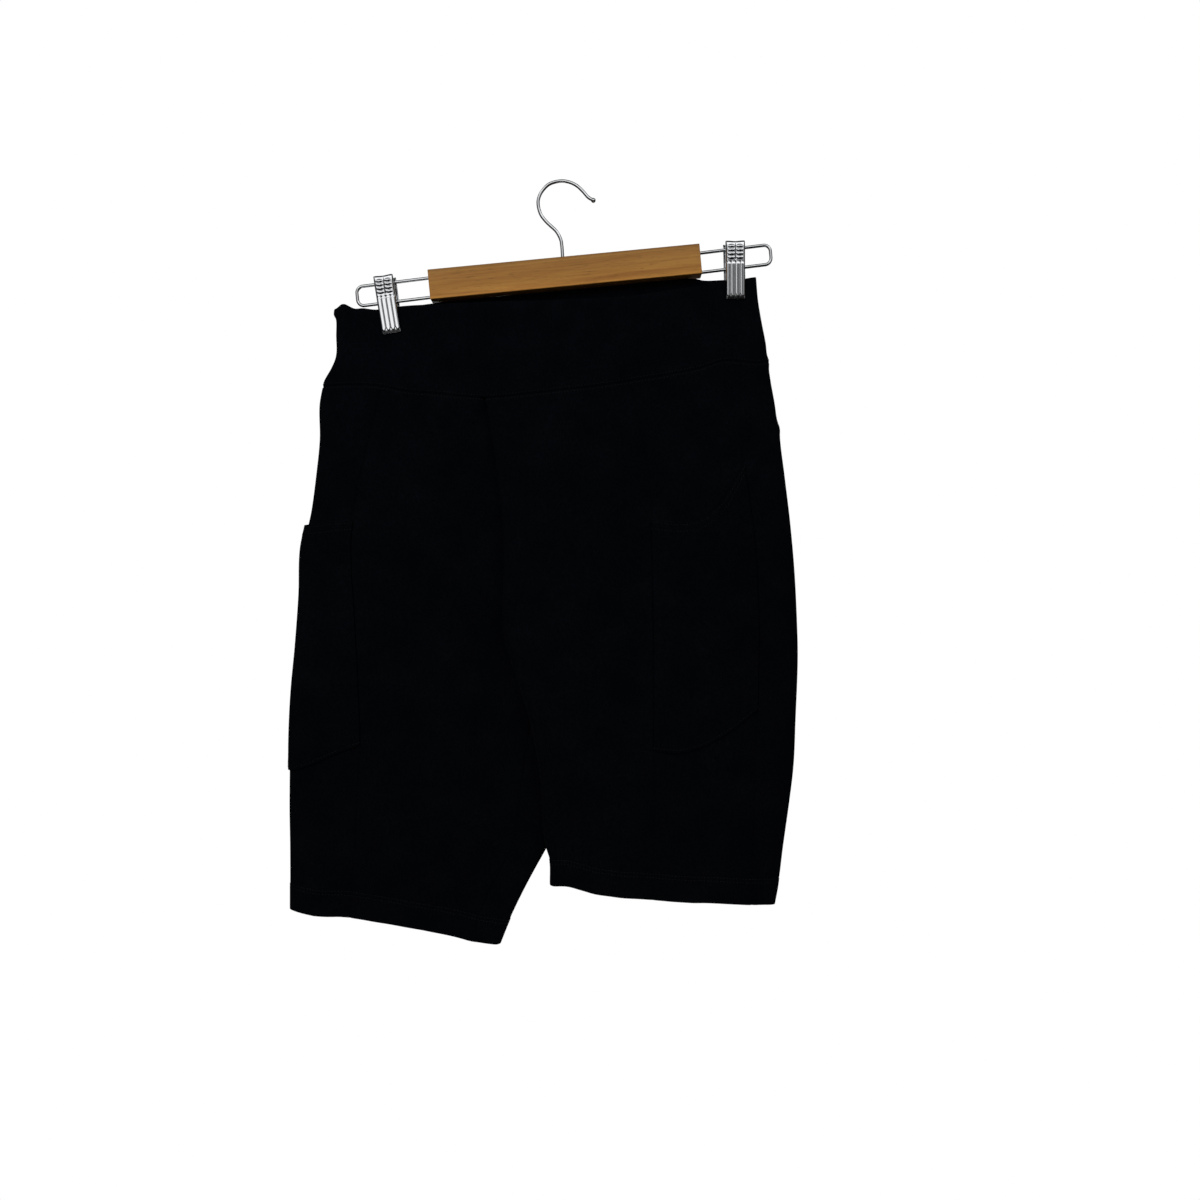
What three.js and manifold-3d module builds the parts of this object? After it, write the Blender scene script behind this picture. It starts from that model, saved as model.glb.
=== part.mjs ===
// Long-leg athletic shorts, hung flat by the waistband from a wooden clip hanger.
//
// Millimetres, +Z up, the front of the shorts faces -Y, +X is to the viewer's right.
// The origin is the inside top of the hanger's hook, the point that it hangs from.
// Left and right in the names are the viewer's, looking at the front.
//
// The cloth is a hollow tube that hangs nearly flat. Above the crotch its section is one ring;
// below it are two, one for each leg. Both legs are laid the same way round: the left half has
// the right half's section turned by 180 degrees, so the right leg laps over the left one in
// front, and the left leg laps over the right one behind.

import * as THREE from 'three';
import { mergeVertices } from 'three/addons/utils/BufferGeometryUtils.js';
import Module from 'manifold-3d';

// ---------------------------------------------------------------- driving dimensions

const PANEL_WALL = 1.2;
const BAND_WALL = 1.6;
const POCKET_WALL = 1.0;
const SEAM_GAP = 0.3;

const LAYER_PITCH = 1.8;        // between two cloth layers that lie on each other in a fold
const EDGE_SOFTNESS = 25;       // how far in from a side edge the hollow opens to its full depth
const LAP_REACH = 70;           // width over which a wall slopes back under the other leg
const LAP_MARGIN = 4;           // flat width beside the other leg's fold, before that slope
const FOLD_ROUND = 5;           // longest reach of the round of an inner fold
const FAR_EDGE = 34;            // width of the rounded side edge on a back wall
const YOKE_ROWS = 4;            // rows over which the yoke seam's curve fades out

const HANGER_TILT = THREE.MathUtils.degToRad(5.46);
const BAR = { length: 234.4, height: 25.6, thickness: 18, corner: 3.2, x: 1.8, z: -77.2 };
const HOOK_WIRE = 1.45;         // radii
const HOOK_BALL = 2.1;
const LOOP_WIRE = 1.4;
const LOOP = { reach: 63.3, height: 17.3, drop: 2.1, corner: 5.5 };
const CLIP = { width: 16.7, sheet: 0.9, backExtra: 2.0, springWidth: 12.6 };
const CLIPS = [
  { side: 'left', x: -156.0, z: -80.0, lean: 8.3 },
  { side: 'right', x: 148.9, z: -50.2, lean: 0.9 },
];

const BLACK_KNIT = { color: 0x0b0b0d, roughness: 0.9, metalness: 0.0 };
const CHROME = { color: 0xc8c8c8, roughness: 0.2, metalness: 1.0 };
const LACQUERED_WOOD = { color: 0x926a39, roughness: 0.5, metalness: 0.0 };

// ---------------------------------------------------------------- section tables

// Side edges of the body and legs, the folds at the inner legs, and the seams: height and place.
const RIGHT_EDGE = [
  [-155, 176.6], [-170, 178.2], [-191, 181.7], [-215, 186.2], [-253, 190.3], [-295, 195.5],
  [-336, 199.0], [-378, 200.7], [-409, 201.5], [-461, 199.8], [-503, 198.1], [-534, 194.6],
  [-575, 188.6], [-623, 183.0],
];
const LEFT_EDGE = [
  [-176.5, -207.0], [-191, -210.2], [-222, -210.2], [-253, -212.8], [-285, -217.2],
  [-316, -223.0], [-357, -226.0], [-399, -229.0], [-440, -232.8], [-482, -235.2],
  [-534, -235.9], [-580, -235.3], [-627, -235.3],
];
const RIGHT_FOLD = [
  [-187, -65.7], [-240, -57.5], [-293, -50.8], [-345, -50.3], [-386, -51.0], [-404, -46.7],
  [-438, -35.5], [-465, -27.7], [-513, -19.0], [-571, -14.7], [-586, -10.8], [-607, -10.4],
];
const LEFT_FOLD = [
  [-187, 37.1], [-240, 30.5], [-293, 25.5], [-345, 23.5], [-386, 22.0], [-404, 19.0],
  [-438, 12.0], [-465, 7.0], [-513, -2.0], [-545, -8.5], [-572, -15.5], [-590, -26.0],
  [-625, -45.0], [-657, -55.0],
];
const RIGHT_PRINCESS = [
  [-175, 58.0], [-222, 67.5], [-279, 75.3], [-362, 77.9], [-482, 78.7], [-616, 77.0],
];
const RIGHT_REAR = [
  [-160, 152.2], [-245, 154.5], [-309, 163.5], [-369, 167.0], [-457, 166.5], [-621, 162.0],
];
const LEFT_PRINCESS = [
  [-177, -154.0], [-222, -165.2], [-272, -176.5], [-309, -181.7], [-367, -179.1],
  [-430, -175.6], [-484, -173.9], [-636, -182.0],
];
const LEFT_REAR = [
  [-177, -166.0], [-272, -171.0], [-309, -183.0], [-367, -191.0], [-430, -205.0],
  [-484, -209.0], [-630, -200.0],
];

// One row for each section from the yoke seam down. The heights are those at the side edges and
// at the inner folds; lap is from the fold to the centre seam or inseam behind it; layer is from
// the near wall to the layer behind it at the fold; depth is across the open hollow.
const SECTIONS = [
  { rightOut: -155, leftOut: -176.5, rightIn: -187, leftIn: -187, lap: 6, layer: 1.8, depth: 19 },
  { rightOut: -176, leftOut: -195, rightIn: -206, leftIn: -206, lap: 8.5, layer: 2.5, depth: 20 },
  { rightOut: -205, leftOut: -221, rightIn: -230, leftIn: -230, lap: 12, layer: 3.4, depth: 21.5 },
  { rightOut: -238, leftOut: -250, rightIn: -258, leftIn: -258, lap: 16, layer: 4.4, depth: 23 },
  { rightOut: -274, leftOut: -282, rightIn: -288, leftIn: -288, lap: 20, layer: 5.6, depth: 24 },
  { rightOut: -310, leftOut: -314, rightIn: -318, leftIn: -318, lap: 24, layer: 7, depth: 25 },
  { rightOut: -342, leftOut: -343, rightIn: -346, leftIn: -346, lap: 27, layer: 8.6, depth: 25 },
  { rightOut: -366, leftOut: -366, rightIn: -368, leftIn: -368, lap: 29.5, layer: 10.2, depth: 25 },
  { rightOut: -386, leftOut: -386, rightIn: -386, leftIn: -386, lap: 36.5, layer: 11.6, depth: 25 },
  { rightOut: -410, leftOut: -412, rightIn: -409, leftIn: -413, lap: 36, layer: 11.6, depth: 25 },
  { rightOut: -442, leftOut: -446, rightIn: -440, leftIn: -450, lap: 35, layer: 11.6, depth: 25 },
  { rightOut: -478, leftOut: -484, rightIn: -474, leftIn: -492, lap: 33.5, layer: 11.6, depth: 25 },
  { rightOut: -515, leftOut: -522, rightIn: -509, leftIn: -534, lap: 32, layer: 11.4, depth: 24.5 },
  { rightOut: -550, leftOut: -560, rightIn: -543, leftIn: -576, lap: 30, layer: 11.1, depth: 24 },
  { rightOut: -582, leftOut: -594, rightIn: -573, leftIn: -616, lap: 28, layer: 12.4, depth: 23.5 },
  { rightOut: -606, leftOut: -615, rightIn: -593, leftIn: -641, lap: 26, layer: 15, depth: 23 },
  { rightOut: -622.8, leftOut: -627, rightIn: -607.2, leftIn: -657.4, lap: 25, layer: 16.5, depth: 23 },
];
const CROTCH_ROW = 8;

// Top edge of the waistband, place and height: it hangs from the clips and frills at the left.
const TOP_EDGE = [
  [-195.5, -107.3], [-190.5, -105.2], [-181.5, -109.4], [-172, -108.6], [-162, -110.2],
  [-150, -109.0], [-138, -107.4], [-110, -106.4], [-65.7, -104.7], [0, -102.6], [58, -99.5],
  [100, -93.5], [140, -86.5], [150, -85.0], [166.1, -82.2],
];
// How far the back's top edge stands above the front's, as [x, rise].
const BACK_RISE = [
  [-140, 0], [-100, 0.8], [-60, 1.8], [-27, 3.2], [10, 5.4], [41, 7], [70, 7], [94, 6], [120, 2.6],
  [140, 0],
];
const BAND_LEFT_EDGE = [
  [-107, -195.5], [-130, -195.5], [-149.6, -195.9], [-160, -200.7], [-170, -205.2], [-176.5, -207.0],
];
const BAND_RIGHT_EDGE = [
  [-82, 166.1], [-99.5, 166.9], [-118.5, 169.5], [-139.3, 173.9], [-155, 176.6],
];
const BAND_ROWS = [0, 0.14, 0.28, 0.46, 0.72, 1];
const BAND_SIDE_SEAM = { front: 146, back: -175.6 };  // where the front and the back piece start
const BAND_OPEN = { top: 4.6, yoke: 9.5 };          // half the depth between the clips
const PINCHED = 1.1;                                // half the depth in the clips' jaws
// Each clip presses the band flat this far to its sides and below its top; past that it eases.
const PINCH = { flat: 12, ease: 36, reach: 52, fade: 48 };
const PINCHED_SOFTNESS = 4;

// Pockets: rows of the side panel that the mouth and bottom lie on, from the front edge back,
// and how far the pocket bags out at its mouth.
const POCKETS = [
  {
    side: 'right',
    mouth: [4.34, 4.44, 4.38, 3.92, 3.14],
    bottom: [11.38, 11.41, 11.22, 10.86, 10.37],
    slack: 1.6,
  },
  {
    side: 'left',
    mouth: [4.3, 4.5, 4.65, 4.55, 3.9],
    bottom: [10.96, 11.5, 11.6, 11.45, 10.9],
    slack: 3.0,
  },
];
const POCKET_CLEARANCE = 0.5;
const POCKET_ROWS = 9;

// ---------------------------------------------------------------- small helpers

const HALF_GAP = SEAM_GAP / 2;
const lerp = THREE.MathUtils.lerp;
const clamp = THREE.MathUtils.clamp;
const smoothstep = (from, to, value) => THREE.MathUtils.smoothstep(value, from, to);

// Reads a two-column table: a smooth value at a place between its rows.
function read(table, at) {
  const rising = table[0][0] < table[table.length - 1][0];
  const before = (row) => (rising ? table[row + 1][0] < at : table[row + 1][0] > at);
  let row = 0;
  while (row < table.length - 2 && before(row)) row += 1;
  const [k0, v0] = table[row];
  const [k1, v1] = table[row + 1];
  const slope = (a, b) => (b[1] - a[1]) / (b[0] - a[0]);
  const inner = slope(table[row], table[row + 1]);
  const first = row > 0 ? (slope(table[row - 1], table[row]) + inner) / 2 : inner;
  const last = row < table.length - 2 ? (slope(table[row + 1], table[row + 2]) + inner) / 2 : inner;
  const s = clamp((at - k0) / (k1 - k0), 0, 1);
  const span = k1 - k0;
  return (2 * s ** 3 - 3 * s ** 2 + 1) * v0 + (s ** 3 - 2 * s ** 2 + s) * span * first
    + (3 * s ** 2 - 2 * s ** 3) * v1 + (s ** 3 - s ** 2) * span * last;
}

// Values from one to another in equal steps, both ends included.
function steps(from, to, count) {
  return Array.from({ length: count + 1 }, (_, i) => lerp(from, to, i / count));
}

function signedVolume(positions, faces) {
  const [a, b, c] = [new THREE.Vector3(), new THREE.Vector3(), new THREE.Vector3()];
  let volume = 0;
  for (const [i, j, k] of faces) {
    a.fromArray(positions, 3 * i);
    b.fromArray(positions, 3 * j);
    c.fromArray(positions, 3 * k);
    volume += a.dot(b.cross(c)) / 6;
  }
  return volume;
}

function solidFrom(positions, faces) {
  const outward = signedVolume(positions, faces) > 0;
  const geometry = new THREE.BufferGeometry();
  geometry.setAttribute('position', new THREE.Float32BufferAttribute(positions, 3));
  geometry.setIndex(faces.flatMap(([i, j, k]) => (outward ? [i, j, k] : [i, k, j])));
  geometry.computeVertexNormals();
  return geometry;
}

// The way that the cloth faces at a point of a row, square to its neighbours.
function facing(row, i) {
  const before = row[Math.max(i - 1, 0)];
  const after = row[Math.min(i + 1, row.length - 1)];
  const along = Math.hypot(after.x - before.x, after.y - before.y);
  return { nx: (after.y - before.y) / along, ny: -(after.x - before.x) / along };
}

// A cloth wall: rows of points along its middle, given its thickness to both sides.
function clothWall(rows, wall) {
  const columns = rows[0].length;
  const positions = [];
  const faces = [];
  for (const row of rows) {
    row.forEach((point, i) => {
      const { nx, ny } = point.facing ?? facing(row, i);
      positions.push(point.x + nx * wall / 2, point.y + ny * wall / 2, point.z);
      positions.push(point.x - nx * wall / 2, point.y - ny * wall / 2, point.z);
    });
  }
  const vertex = (r, c, side) => 2 * (r * columns + c) + side;
  const quad = (a, b, c, d) => faces.push([a, b, c], [a, c, d]);
  for (let r = 0; r < rows.length - 1; r += 1) {
    for (let c = 0; c < columns - 1; c += 1) {
      quad(vertex(r, c, 0), vertex(r, c + 1, 0), vertex(r + 1, c + 1, 0), vertex(r + 1, c, 0));
      quad(vertex(r, c, 1), vertex(r + 1, c, 1), vertex(r + 1, c + 1, 1), vertex(r, c + 1, 1));
    }
    const last = columns - 1;
    quad(vertex(r, 0, 0), vertex(r + 1, 0, 0), vertex(r + 1, 0, 1), vertex(r, 0, 1));
    quad(vertex(r, last, 0), vertex(r, last, 1), vertex(r + 1, last, 1), vertex(r + 1, last, 0));
  }
  const bottom = rows.length - 1;
  for (let c = 0; c < columns - 1; c += 1) {
    quad(vertex(0, c, 0), vertex(0, c, 1), vertex(0, c + 1, 1), vertex(0, c + 1, 0));
    const [outer, inner] = [vertex(bottom, c, 0), vertex(bottom, c, 1)];
    quad(outer, vertex(bottom, c + 1, 0), vertex(bottom, c + 1, 1), inner);
  }
  return solidFrom(positions, faces);
}

// A closed solid through sections that all have the same number of corners.
function loft(sections) {
  const corners = sections[0].length;
  const positions = sections.flat().flatMap((point) => [point.x, point.y, point.z]);
  const faces = [];
  for (let s = 0; s < sections.length - 1; s += 1) {
    for (let c = 0; c < corners; c += 1) {
      const next = (c + 1) % corners;
      const [a, b] = [s * corners + c, s * corners + next];
      faces.push([a, b, b + corners], [a, b + corners, a + corners]);
    }
  }
  const outline = sections[0].map((point) => new THREE.Vector2(point.x, point.y));
  const caps = THREE.ShapeUtils.triangulateShape(outline, []);
  const end = (sections.length - 1) * corners;
  const wound = THREE.ShapeUtils.area(outline) > 0;
  for (const [i, j, k] of caps) {
    faces.push(wound ? [i, k, j] : [i, j, k]);
    faces.push(wound ? [end + i, end + j, end + k] : [end + i, end + k, end + j]);
  }
  return solidFrom(positions, faces);
}

// ---------------------------------------------------------------- body and legs

const yokeCorner = {
  front: read(RIGHT_FOLD, SECTIONS[0].rightIn),
  back: read(LEFT_FOLD, SECTIONS[0].leftIn),
};

// Height of the yoke seam at a place on the front or back: lowest at the centre seam.
function yokeHeight(x, face) {
  const centre = yokeCorner[face];
  const top = SECTIONS[0];
  if (x >= centre) {
    const edge = read(RIGHT_EDGE, top.rightOut);
    return lerp(top.rightIn, top.rightOut, clamp((x - centre) / (edge - centre), 0, 1));
  }
  const edge = read(LEFT_EDGE, top.leftOut);
  return lerp(top.leftIn, top.leftOut, clamp((centre - x) / (centre - edge), 0, 1));
}

function sectionAt(row) {
  const index = Math.min(Math.floor(row), SECTIONS.length - 2);
  const [upper, lower] = [SECTIONS[index], SECTIONS[index + 1]];
  const mixed = {};
  for (const key of Object.keys(upper)) mixed[key] = lerp(upper[key], lower[key], row - index);
  return mixed;
}

const BODY_EDGE_SHARES = [1, 0.55, 0.25, 0.08];
const COLUMNS = { nearWall: 7, side: 4, farWall: 7 };

// One half of the shorts at one section, in its own frame: x grows to the outer edge and the
// near wall is at -y. That is the world's frame on the right half, and the left half is turned.
class Half {
  constructor(side, row) {
    this.sign = side === 'right' ? 1 : -1;
    this.nearFace = side === 'right' ? 'front' : 'back';
    this.farFace = side === 'right' ? 'back' : 'front';
    this.row = row;
    this.closed = row >= CROTCH_ROW;
    const section = sectionAt(row);
    this.section = section;
    this.outZ = section[`${side}Out`];
    this.inZ = section[`${side}In`];
    const own = side === 'right' ? RIGHT_FOLD : LEFT_FOLD;
    const other = side === 'right' ? LEFT_FOLD : RIGHT_FOLD;
    this.edge = this.sign * read(side === 'right' ? RIGHT_EDGE : LEFT_EDGE, this.outZ);
    this.fold = this.sign * read(own, this.inZ);
    this.otherFold = this.sign * read(other, this.inZ);
    this.nearSeam = this.fold + section.lap;
    this.farSeam = this.closed ? this.nearSeam : this.otherFold - section.lap;
    this.half = section.depth / 2;
    this.nearY = -this.half;
    this.hookY = this.nearY + section.layer;
    this.turnY = this.hookY + LAYER_PITCH / 2;
    this.farSeamY = this.closed ? this.hookY : -this.turnY - LAYER_PITCH / 2;
  }

  // Where a seam's table puts it, in this half's frame.
  seam(table) {
    return this.sign * read(table, (this.outZ + this.inZ) / 2);
  }

  open(x) {
    return this.half * Math.sqrt(1 - Math.exp(-Math.max(this.edge - x, 0) / EDGE_SOFTNESS));
  }

  farY(x) {
    const start = Math.max(this.otherFold, this.farSeam) + LAP_MARGIN;
    return lerp(this.farSeamY, this.open(x), smoothstep(start, start + LAP_REACH, x));
  }

  height(x, near, behind) {
    const seam = near ? this.fold : this.farSeam;
    const across = behind ? 0 : clamp((x - seam) / (this.edge - seam), 0, 1);
    const face = near ? this.nearFace : this.farFace;
    const top = SECTIONS[0];
    const side = this.sign > 0 ? 'right' : 'left';
    const straight = lerp(top[`${side}In`], top[`${side}Out`], across);
    const curve = yokeHeight(this.sign * x, face) - straight;
    return lerp(this.inZ, this.outZ, across) + curve * Math.max(0, 1 - this.row / YOKE_ROWS);
  }

  point(x, y, near, behind = false) {
    const sunk = this.row === 0 ? HALF_GAP : 0;
    return new THREE.Vector3(this.sign * x, this.sign * y, this.height(x, near, behind) - sunk);
  }

  // The end of a wall that turns into a seam between two layers faces along x.
  turned(point, way) {
    if (!this.closed) point.facing = { nx: way * this.sign, ny: 0 };
    return point;
  }

  near(x) {
    return this.point(x, -this.open(x), true);
  }

  far(x) {
    return this.point(x, this.farY(x), false);
  }

  // From the centre seam or inseam, over the layer behind the fold and round the fold.
  hook() {
    const points = [];
    const turn = LAYER_PITCH / 2;
    const flatSeam = this.nearSeam - HALF_GAP;
    for (const angle of steps(0, Math.PI / 2, 2)) {
      const x = this.closed ? flatSeam - angle : this.nearSeam + turn * Math.cos(angle);
      const lift = this.closed ? 0 : (turn - HALF_GAP) * (1 - Math.sin(angle));
      points.push(this.point(x, this.hookY + lift, true, true));
    }
    this.turned(points[0], -1);
    const from = this.closed ? flatSeam - Math.PI / 2 : this.nearSeam;
    const round = this.section.layer / 2;
    const across = Math.min(round, FOLD_ROUND);
    for (const x of steps(from, this.fold + across, 3).slice(1, -1)) {
      points.push(this.point(x, this.hookY, true, true));
    }
    for (const angle of steps(0, Math.PI, 4)) {
      const x = this.fold + across * (1 - Math.sin(angle));
      const y = this.hookY - round + round * Math.cos(angle);
      points.push(this.point(x, y, true, angle < Math.PI / 2));
    }
    return points;
  }

  // The hook, and then the near wall from the fold to a seam.
  nearWall(to) {
    const points = this.hook();
    const from = this.sign * points[points.length - 1].x;
    return [...points, ...steps(from, to, COLUMNS.nearWall).slice(1).map((x) => this.near(x))];
  }

  // From a place on the far wall to the centre seam or inseam. A closed leg's wall runs straight
  // to the inseam, and has as many points as one that turns into the centre seam.
  farEnd(from, count) {
    const turn = LAYER_PITCH / 2;
    const turnPoints = 2;
    if (this.closed) {
      return steps(from, this.farSeam + HALF_GAP, count + turnPoints).map((x) => this.far(x));
    }
    const points = steps(from, this.farSeam, count).map((x) => this.far(x));
    for (const angle of steps(0, Math.PI / 2, turnPoints).slice(1)) {
      const x = this.farSeam - turn * Math.sin(angle);
      const lift = (turn - HALF_GAP) * (1 - Math.cos(angle));
      points.push(this.point(x, this.farSeamY + lift, false));
    }
    this.turned(points[points.length - 1], 1);
    return points;
  }

  // Round the outer edge, from a place on the near wall to one on the far wall.
  round(nearX, farX) {
    const points = BODY_EDGE_SHARES.map((share) => this.near(lerp(this.edge, nearX, share)));
    points.push(this.point(this.edge, 0, true));
    const back = [...BODY_EDGE_SHARES].reverse();
    points.push(...back.map((share) => this.far(lerp(this.edge, farX, share))));
    return points;
  }
}

const bodyRows = SECTIONS.map((_, row) => row);

function rightPanels(row) {
  const half = new Half('right', row);
  const princess = half.seam(RIGHT_PRINCESS);
  const rear = half.seam(RIGHT_REAR);
  return {
    front: half.nearWall(princess - HALF_GAP),
    side: steps(princess + HALF_GAP, rear - HALF_GAP, COLUMNS.side).map((x) => half.near(x)),
    back: [
      ...half.round(rear + HALF_GAP, half.edge - FAR_EDGE),
      ...half.farEnd(half.edge - FAR_EDGE, COLUMNS.farWall).slice(1),
    ],
  };
}

function leftPanels(row) {
  const half = new Half('left', row);
  const princess = half.seam(LEFT_PRINCESS);
  const rear = half.seam(LEFT_REAR);
  return {
    back: half.nearWall(rear - HALF_GAP),
    side: half.round(rear + HALF_GAP, princess + HALF_GAP),
    front: half.farEnd(princess - HALF_GAP, COLUMNS.farWall),
  };
}

const rightRows = bodyRows.map(rightPanels);
const leftRows = bodyRows.map(leftPanels);

// ---------------------------------------------------------------- waistband

function pinchAt(x, z) {
  let pinch = 0;
  for (const clip of CLIPS) {
    const centre = clip.x + Math.tan(THREE.MathUtils.degToRad(clip.lean)) * (clip.z - z);
    const beside = 1 - smoothstep(PINCH.flat, PINCH.flat + PINCH.ease, Math.abs(x - centre));
    const below = clip.z - z - PINCH.reach;
    pinch = Math.max(pinch, beside * (1 - smoothstep(0, PINCH.fade, below)));
  }
  return pinch;
}

function bandPoint(x, down, face, edges) {
  const top = read(TOP_EDGE, x) + (face === 'back' ? read(BACK_RISE, x) : 0);
  const bottom = yokeHeight(x, face) + HALF_GAP;
  const z = lerp(top, bottom, down);
  const open = lerp(BAND_OPEN.top, BAND_OPEN.yoke, Math.sqrt(down));
  const half = lerp(open, PINCHED, pinchAt(x, z));
  const softness = lerp(EDGE_SOFTNESS, PINCHED_SOFTNESS, pinchAt(x, z) * (1 - down));
  const in1 = 1 - Math.exp(-Math.max(x - edges.left, 0) / softness);
  const in2 = 1 - Math.exp(-Math.max(edges.right - x, 0) / softness);
  const y = half * Math.sqrt(in1 * in2);
  return new THREE.Vector3(x, face === 'front' ? -y : y, z);
}

const BAND_STATIONS = {
  front: [138, 126, 108, 85, 58, 28, -4, -36, -65.7, -92, -113, -128, -139, -151, -163, -174],
  back: [-163, -151, -139, -128, -113, -90, -62, -30, 4, 37.1, 64, 90, 110, 126, 138, 150],
};
const EDGE_SHARES = [0.6, 0.25, 0.07];

// Each band piece runs from its own side seam across its face, round the far side edge, and on
// along the other face to the other piece's seam.
function bandRows(face) {
  const other = face === 'front' ? 'back' : 'front';
  const inward = face === 'front' ? -HALF_GAP : HALF_GAP;
  const across = [BAND_SIDE_SEAM[face] + inward, ...BAND_STATIONS[face]];
  const from = across[across.length - 1];
  const stop = BAND_SIDE_SEAM[other] + inward;
  return BAND_ROWS.map((down) => {
    const edges = {
      left: read(BAND_LEFT_EDGE, lerp(BAND_LEFT_EDGE[0][0], SECTIONS[0].leftOut, down)),
      right: read(BAND_RIGHT_EDGE, lerp(BAND_RIGHT_EDGE[0][0], SECTIONS[0].rightOut, down)),
    };
    const turning = face === 'front' ? edges.left : edges.right;
    const back = [...EDGE_SHARES].reverse();
    const near = [...across, ...EDGE_SHARES.map((share) => lerp(turning, from, share)), turning];
    const far = [...back.map((share) => lerp(turning, stop, share)), stop];
    return [
      ...near.map((x) => bandPoint(x, down, face, edges)),
      ...far.map((x) => bandPoint(x, down, other, edges)),
    ];
  });
}

// ---------------------------------------------------------------- pockets

// A pocket lies on its side panel: the panel's own columns, moved out, between two slanting rows.
function pocketRows({ side, mouth, bottom, slack }) {
  const panelRow = (row) => (side === 'right' ? rightPanels(row) : leftPanels(row)).side;
  const columns = panelRow(0).length;
  const backwards = side === 'left';
  const shareOf = (c) => (backwards ? 1 - c / (columns - 1) : c / (columns - 1));
  const along = (list, share) => {
    const at = share * (list.length - 1);
    const index = Math.min(Math.floor(at), list.length - 2);
    return lerp(list[index], list[index + 1], at - index);
  };
  return steps(0, 1, POCKET_ROWS).map((down) => {
    const row = [];
    for (let c = 0; c < columns; c += 1) {
      const share = shareOf(c);
      const at = lerp(along(mouth, share), along(bottom, share), down);
      const upper = Math.floor(at);
      const [a, b] = [panelRow(upper), panelRow(upper + 1)];
      const point = a[c].clone().lerp(b[c], at - upper);
      const { nx, ny } = facing(a, c);
      const bulge = slack * Math.sin(Math.PI * share) * Math.sin(Math.PI * (0.5 + down / 2)) ** 0.7;
      const out = PANEL_WALL / 2 + POCKET_CLEARANCE + POCKET_WALL / 2 + bulge;
      point.x += nx * out;
      point.y += ny * out;
      row.push(point);
    }
    return row;
  });
}

// ---------------------------------------------------------------- hanger

const wasm = await Module();
wasm.setup();

function toManifold(geometry) {
  const bare = geometry.clone();
  bare.deleteAttribute('normal');
  bare.deleteAttribute('uv');
  const merged = mergeVertices(bare, 1e-4);
  const vertProperties = new Float32Array(merged.attributes.position.array);
  const triVerts = new Uint32Array(merged.index.array);
  return new wasm.Manifold(new wasm.Mesh({ numProp: 3, vertProperties, triVerts }));
}

function joined(first, second) {
  const mesh = toManifold(first).add(toManifold(second)).getMesh();
  const geometry = new THREE.BufferGeometry();
  geometry.setAttribute('position', new THREE.BufferAttribute(mesh.vertProperties, 3));
  geometry.setIndex(new THREE.BufferAttribute(mesh.triVerts, 1));
  geometry.computeVertexNormals();
  return geometry;
}

function wire(path, radius, count, sides) {
  const circle = new THREE.Shape();
  for (let i = 0; i < sides; i += 1) {
    const angle = (2 * Math.PI * i) / sides;
    const [x, y] = [radius * Math.cos(angle), radius * Math.sin(angle)];
    if (i === 0) circle.moveTo(x, y);
    else circle.lineTo(x, y);
  }
  circle.closePath();
  return new THREE.ExtrudeGeometry(circle, { steps: count, extrudePath: path, curveSegments: 1 });
}

const BAR_TOP = BAR.z + BAR.height / 2 / Math.cos(HANGER_TILT) + SEAM_GAP;

// The hook's wire from the bar's top edge, over the top, to the ball at its tip.
const HOOK_PATH = [
  [0.6, BAR_TOP], [-0.4, -56], [-1.6, -47.5], [-7.0, -39.6], [-13.2, -34.2], [-18.0, -28.6],
  [-20.8, -21.0], [-20.5, -13.2], [-17.0, -6.0], [-10.6, -0.6], [-2.6, 1.35], [5.2, 0.6],
  [12.0, -2.6], [17.4, -7.6], [21.4, -12.6], [26.2, -15.2],
];

function hookGeometry() {
  const path = new THREE.CatmullRomCurve3(HOOK_PATH.map(([x, z]) => new THREE.Vector3(x, 0, z)));
  const [tipX, tipZ] = HOOK_PATH[HOOK_PATH.length - 1];
  const ball = new THREE.SphereGeometry(HOOK_BALL, 10, 7);
  ball.translate(tipX, 0, tipZ);
  return joined(wire(path, HOOK_WIRE, 44, 10), ball);
}

// A solid of a (y, z) outline, centred on x.
function extrudedAlongX(outline, length) {
  const settings = { depth: length, bevelEnabled: false, curveSegments: 4 };
  const geometry = new THREE.ExtrudeGeometry(outline, settings);
  geometry.translate(0, 0, -length / 2);
  const [outlineX, outlineY] = [new THREE.Vector3(0, 1, 0), new THREE.Vector3(0, 0, 1)];
  const along = new THREE.Vector3(1, 0, 0);
  geometry.applyMatrix4(new THREE.Matrix4().makeBasis(outlineX, outlineY, along));
  return geometry;
}

function barGeometry() {
  const { length, height, thickness, corner } = BAR;
  const [y, z] = [thickness / 2, height / 2];
  const outline = new THREE.Shape();
  outline.moveTo(-y + corner, -z);
  outline.lineTo(y - corner, -z);
  outline.quadraticCurveTo(y, -z, y, -z + corner);
  outline.lineTo(y, z - corner);
  outline.quadraticCurveTo(y, z, y - corner, z);
  outline.lineTo(-y + corner, z);
  outline.quadraticCurveTo(-y, z, -y, z - corner);
  outline.lineTo(-y, -z + corner);
  outline.quadraticCurveTo(-y, -z, -y + corner, -z);
  return extrudedAlongX(outline, length);
}

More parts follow.
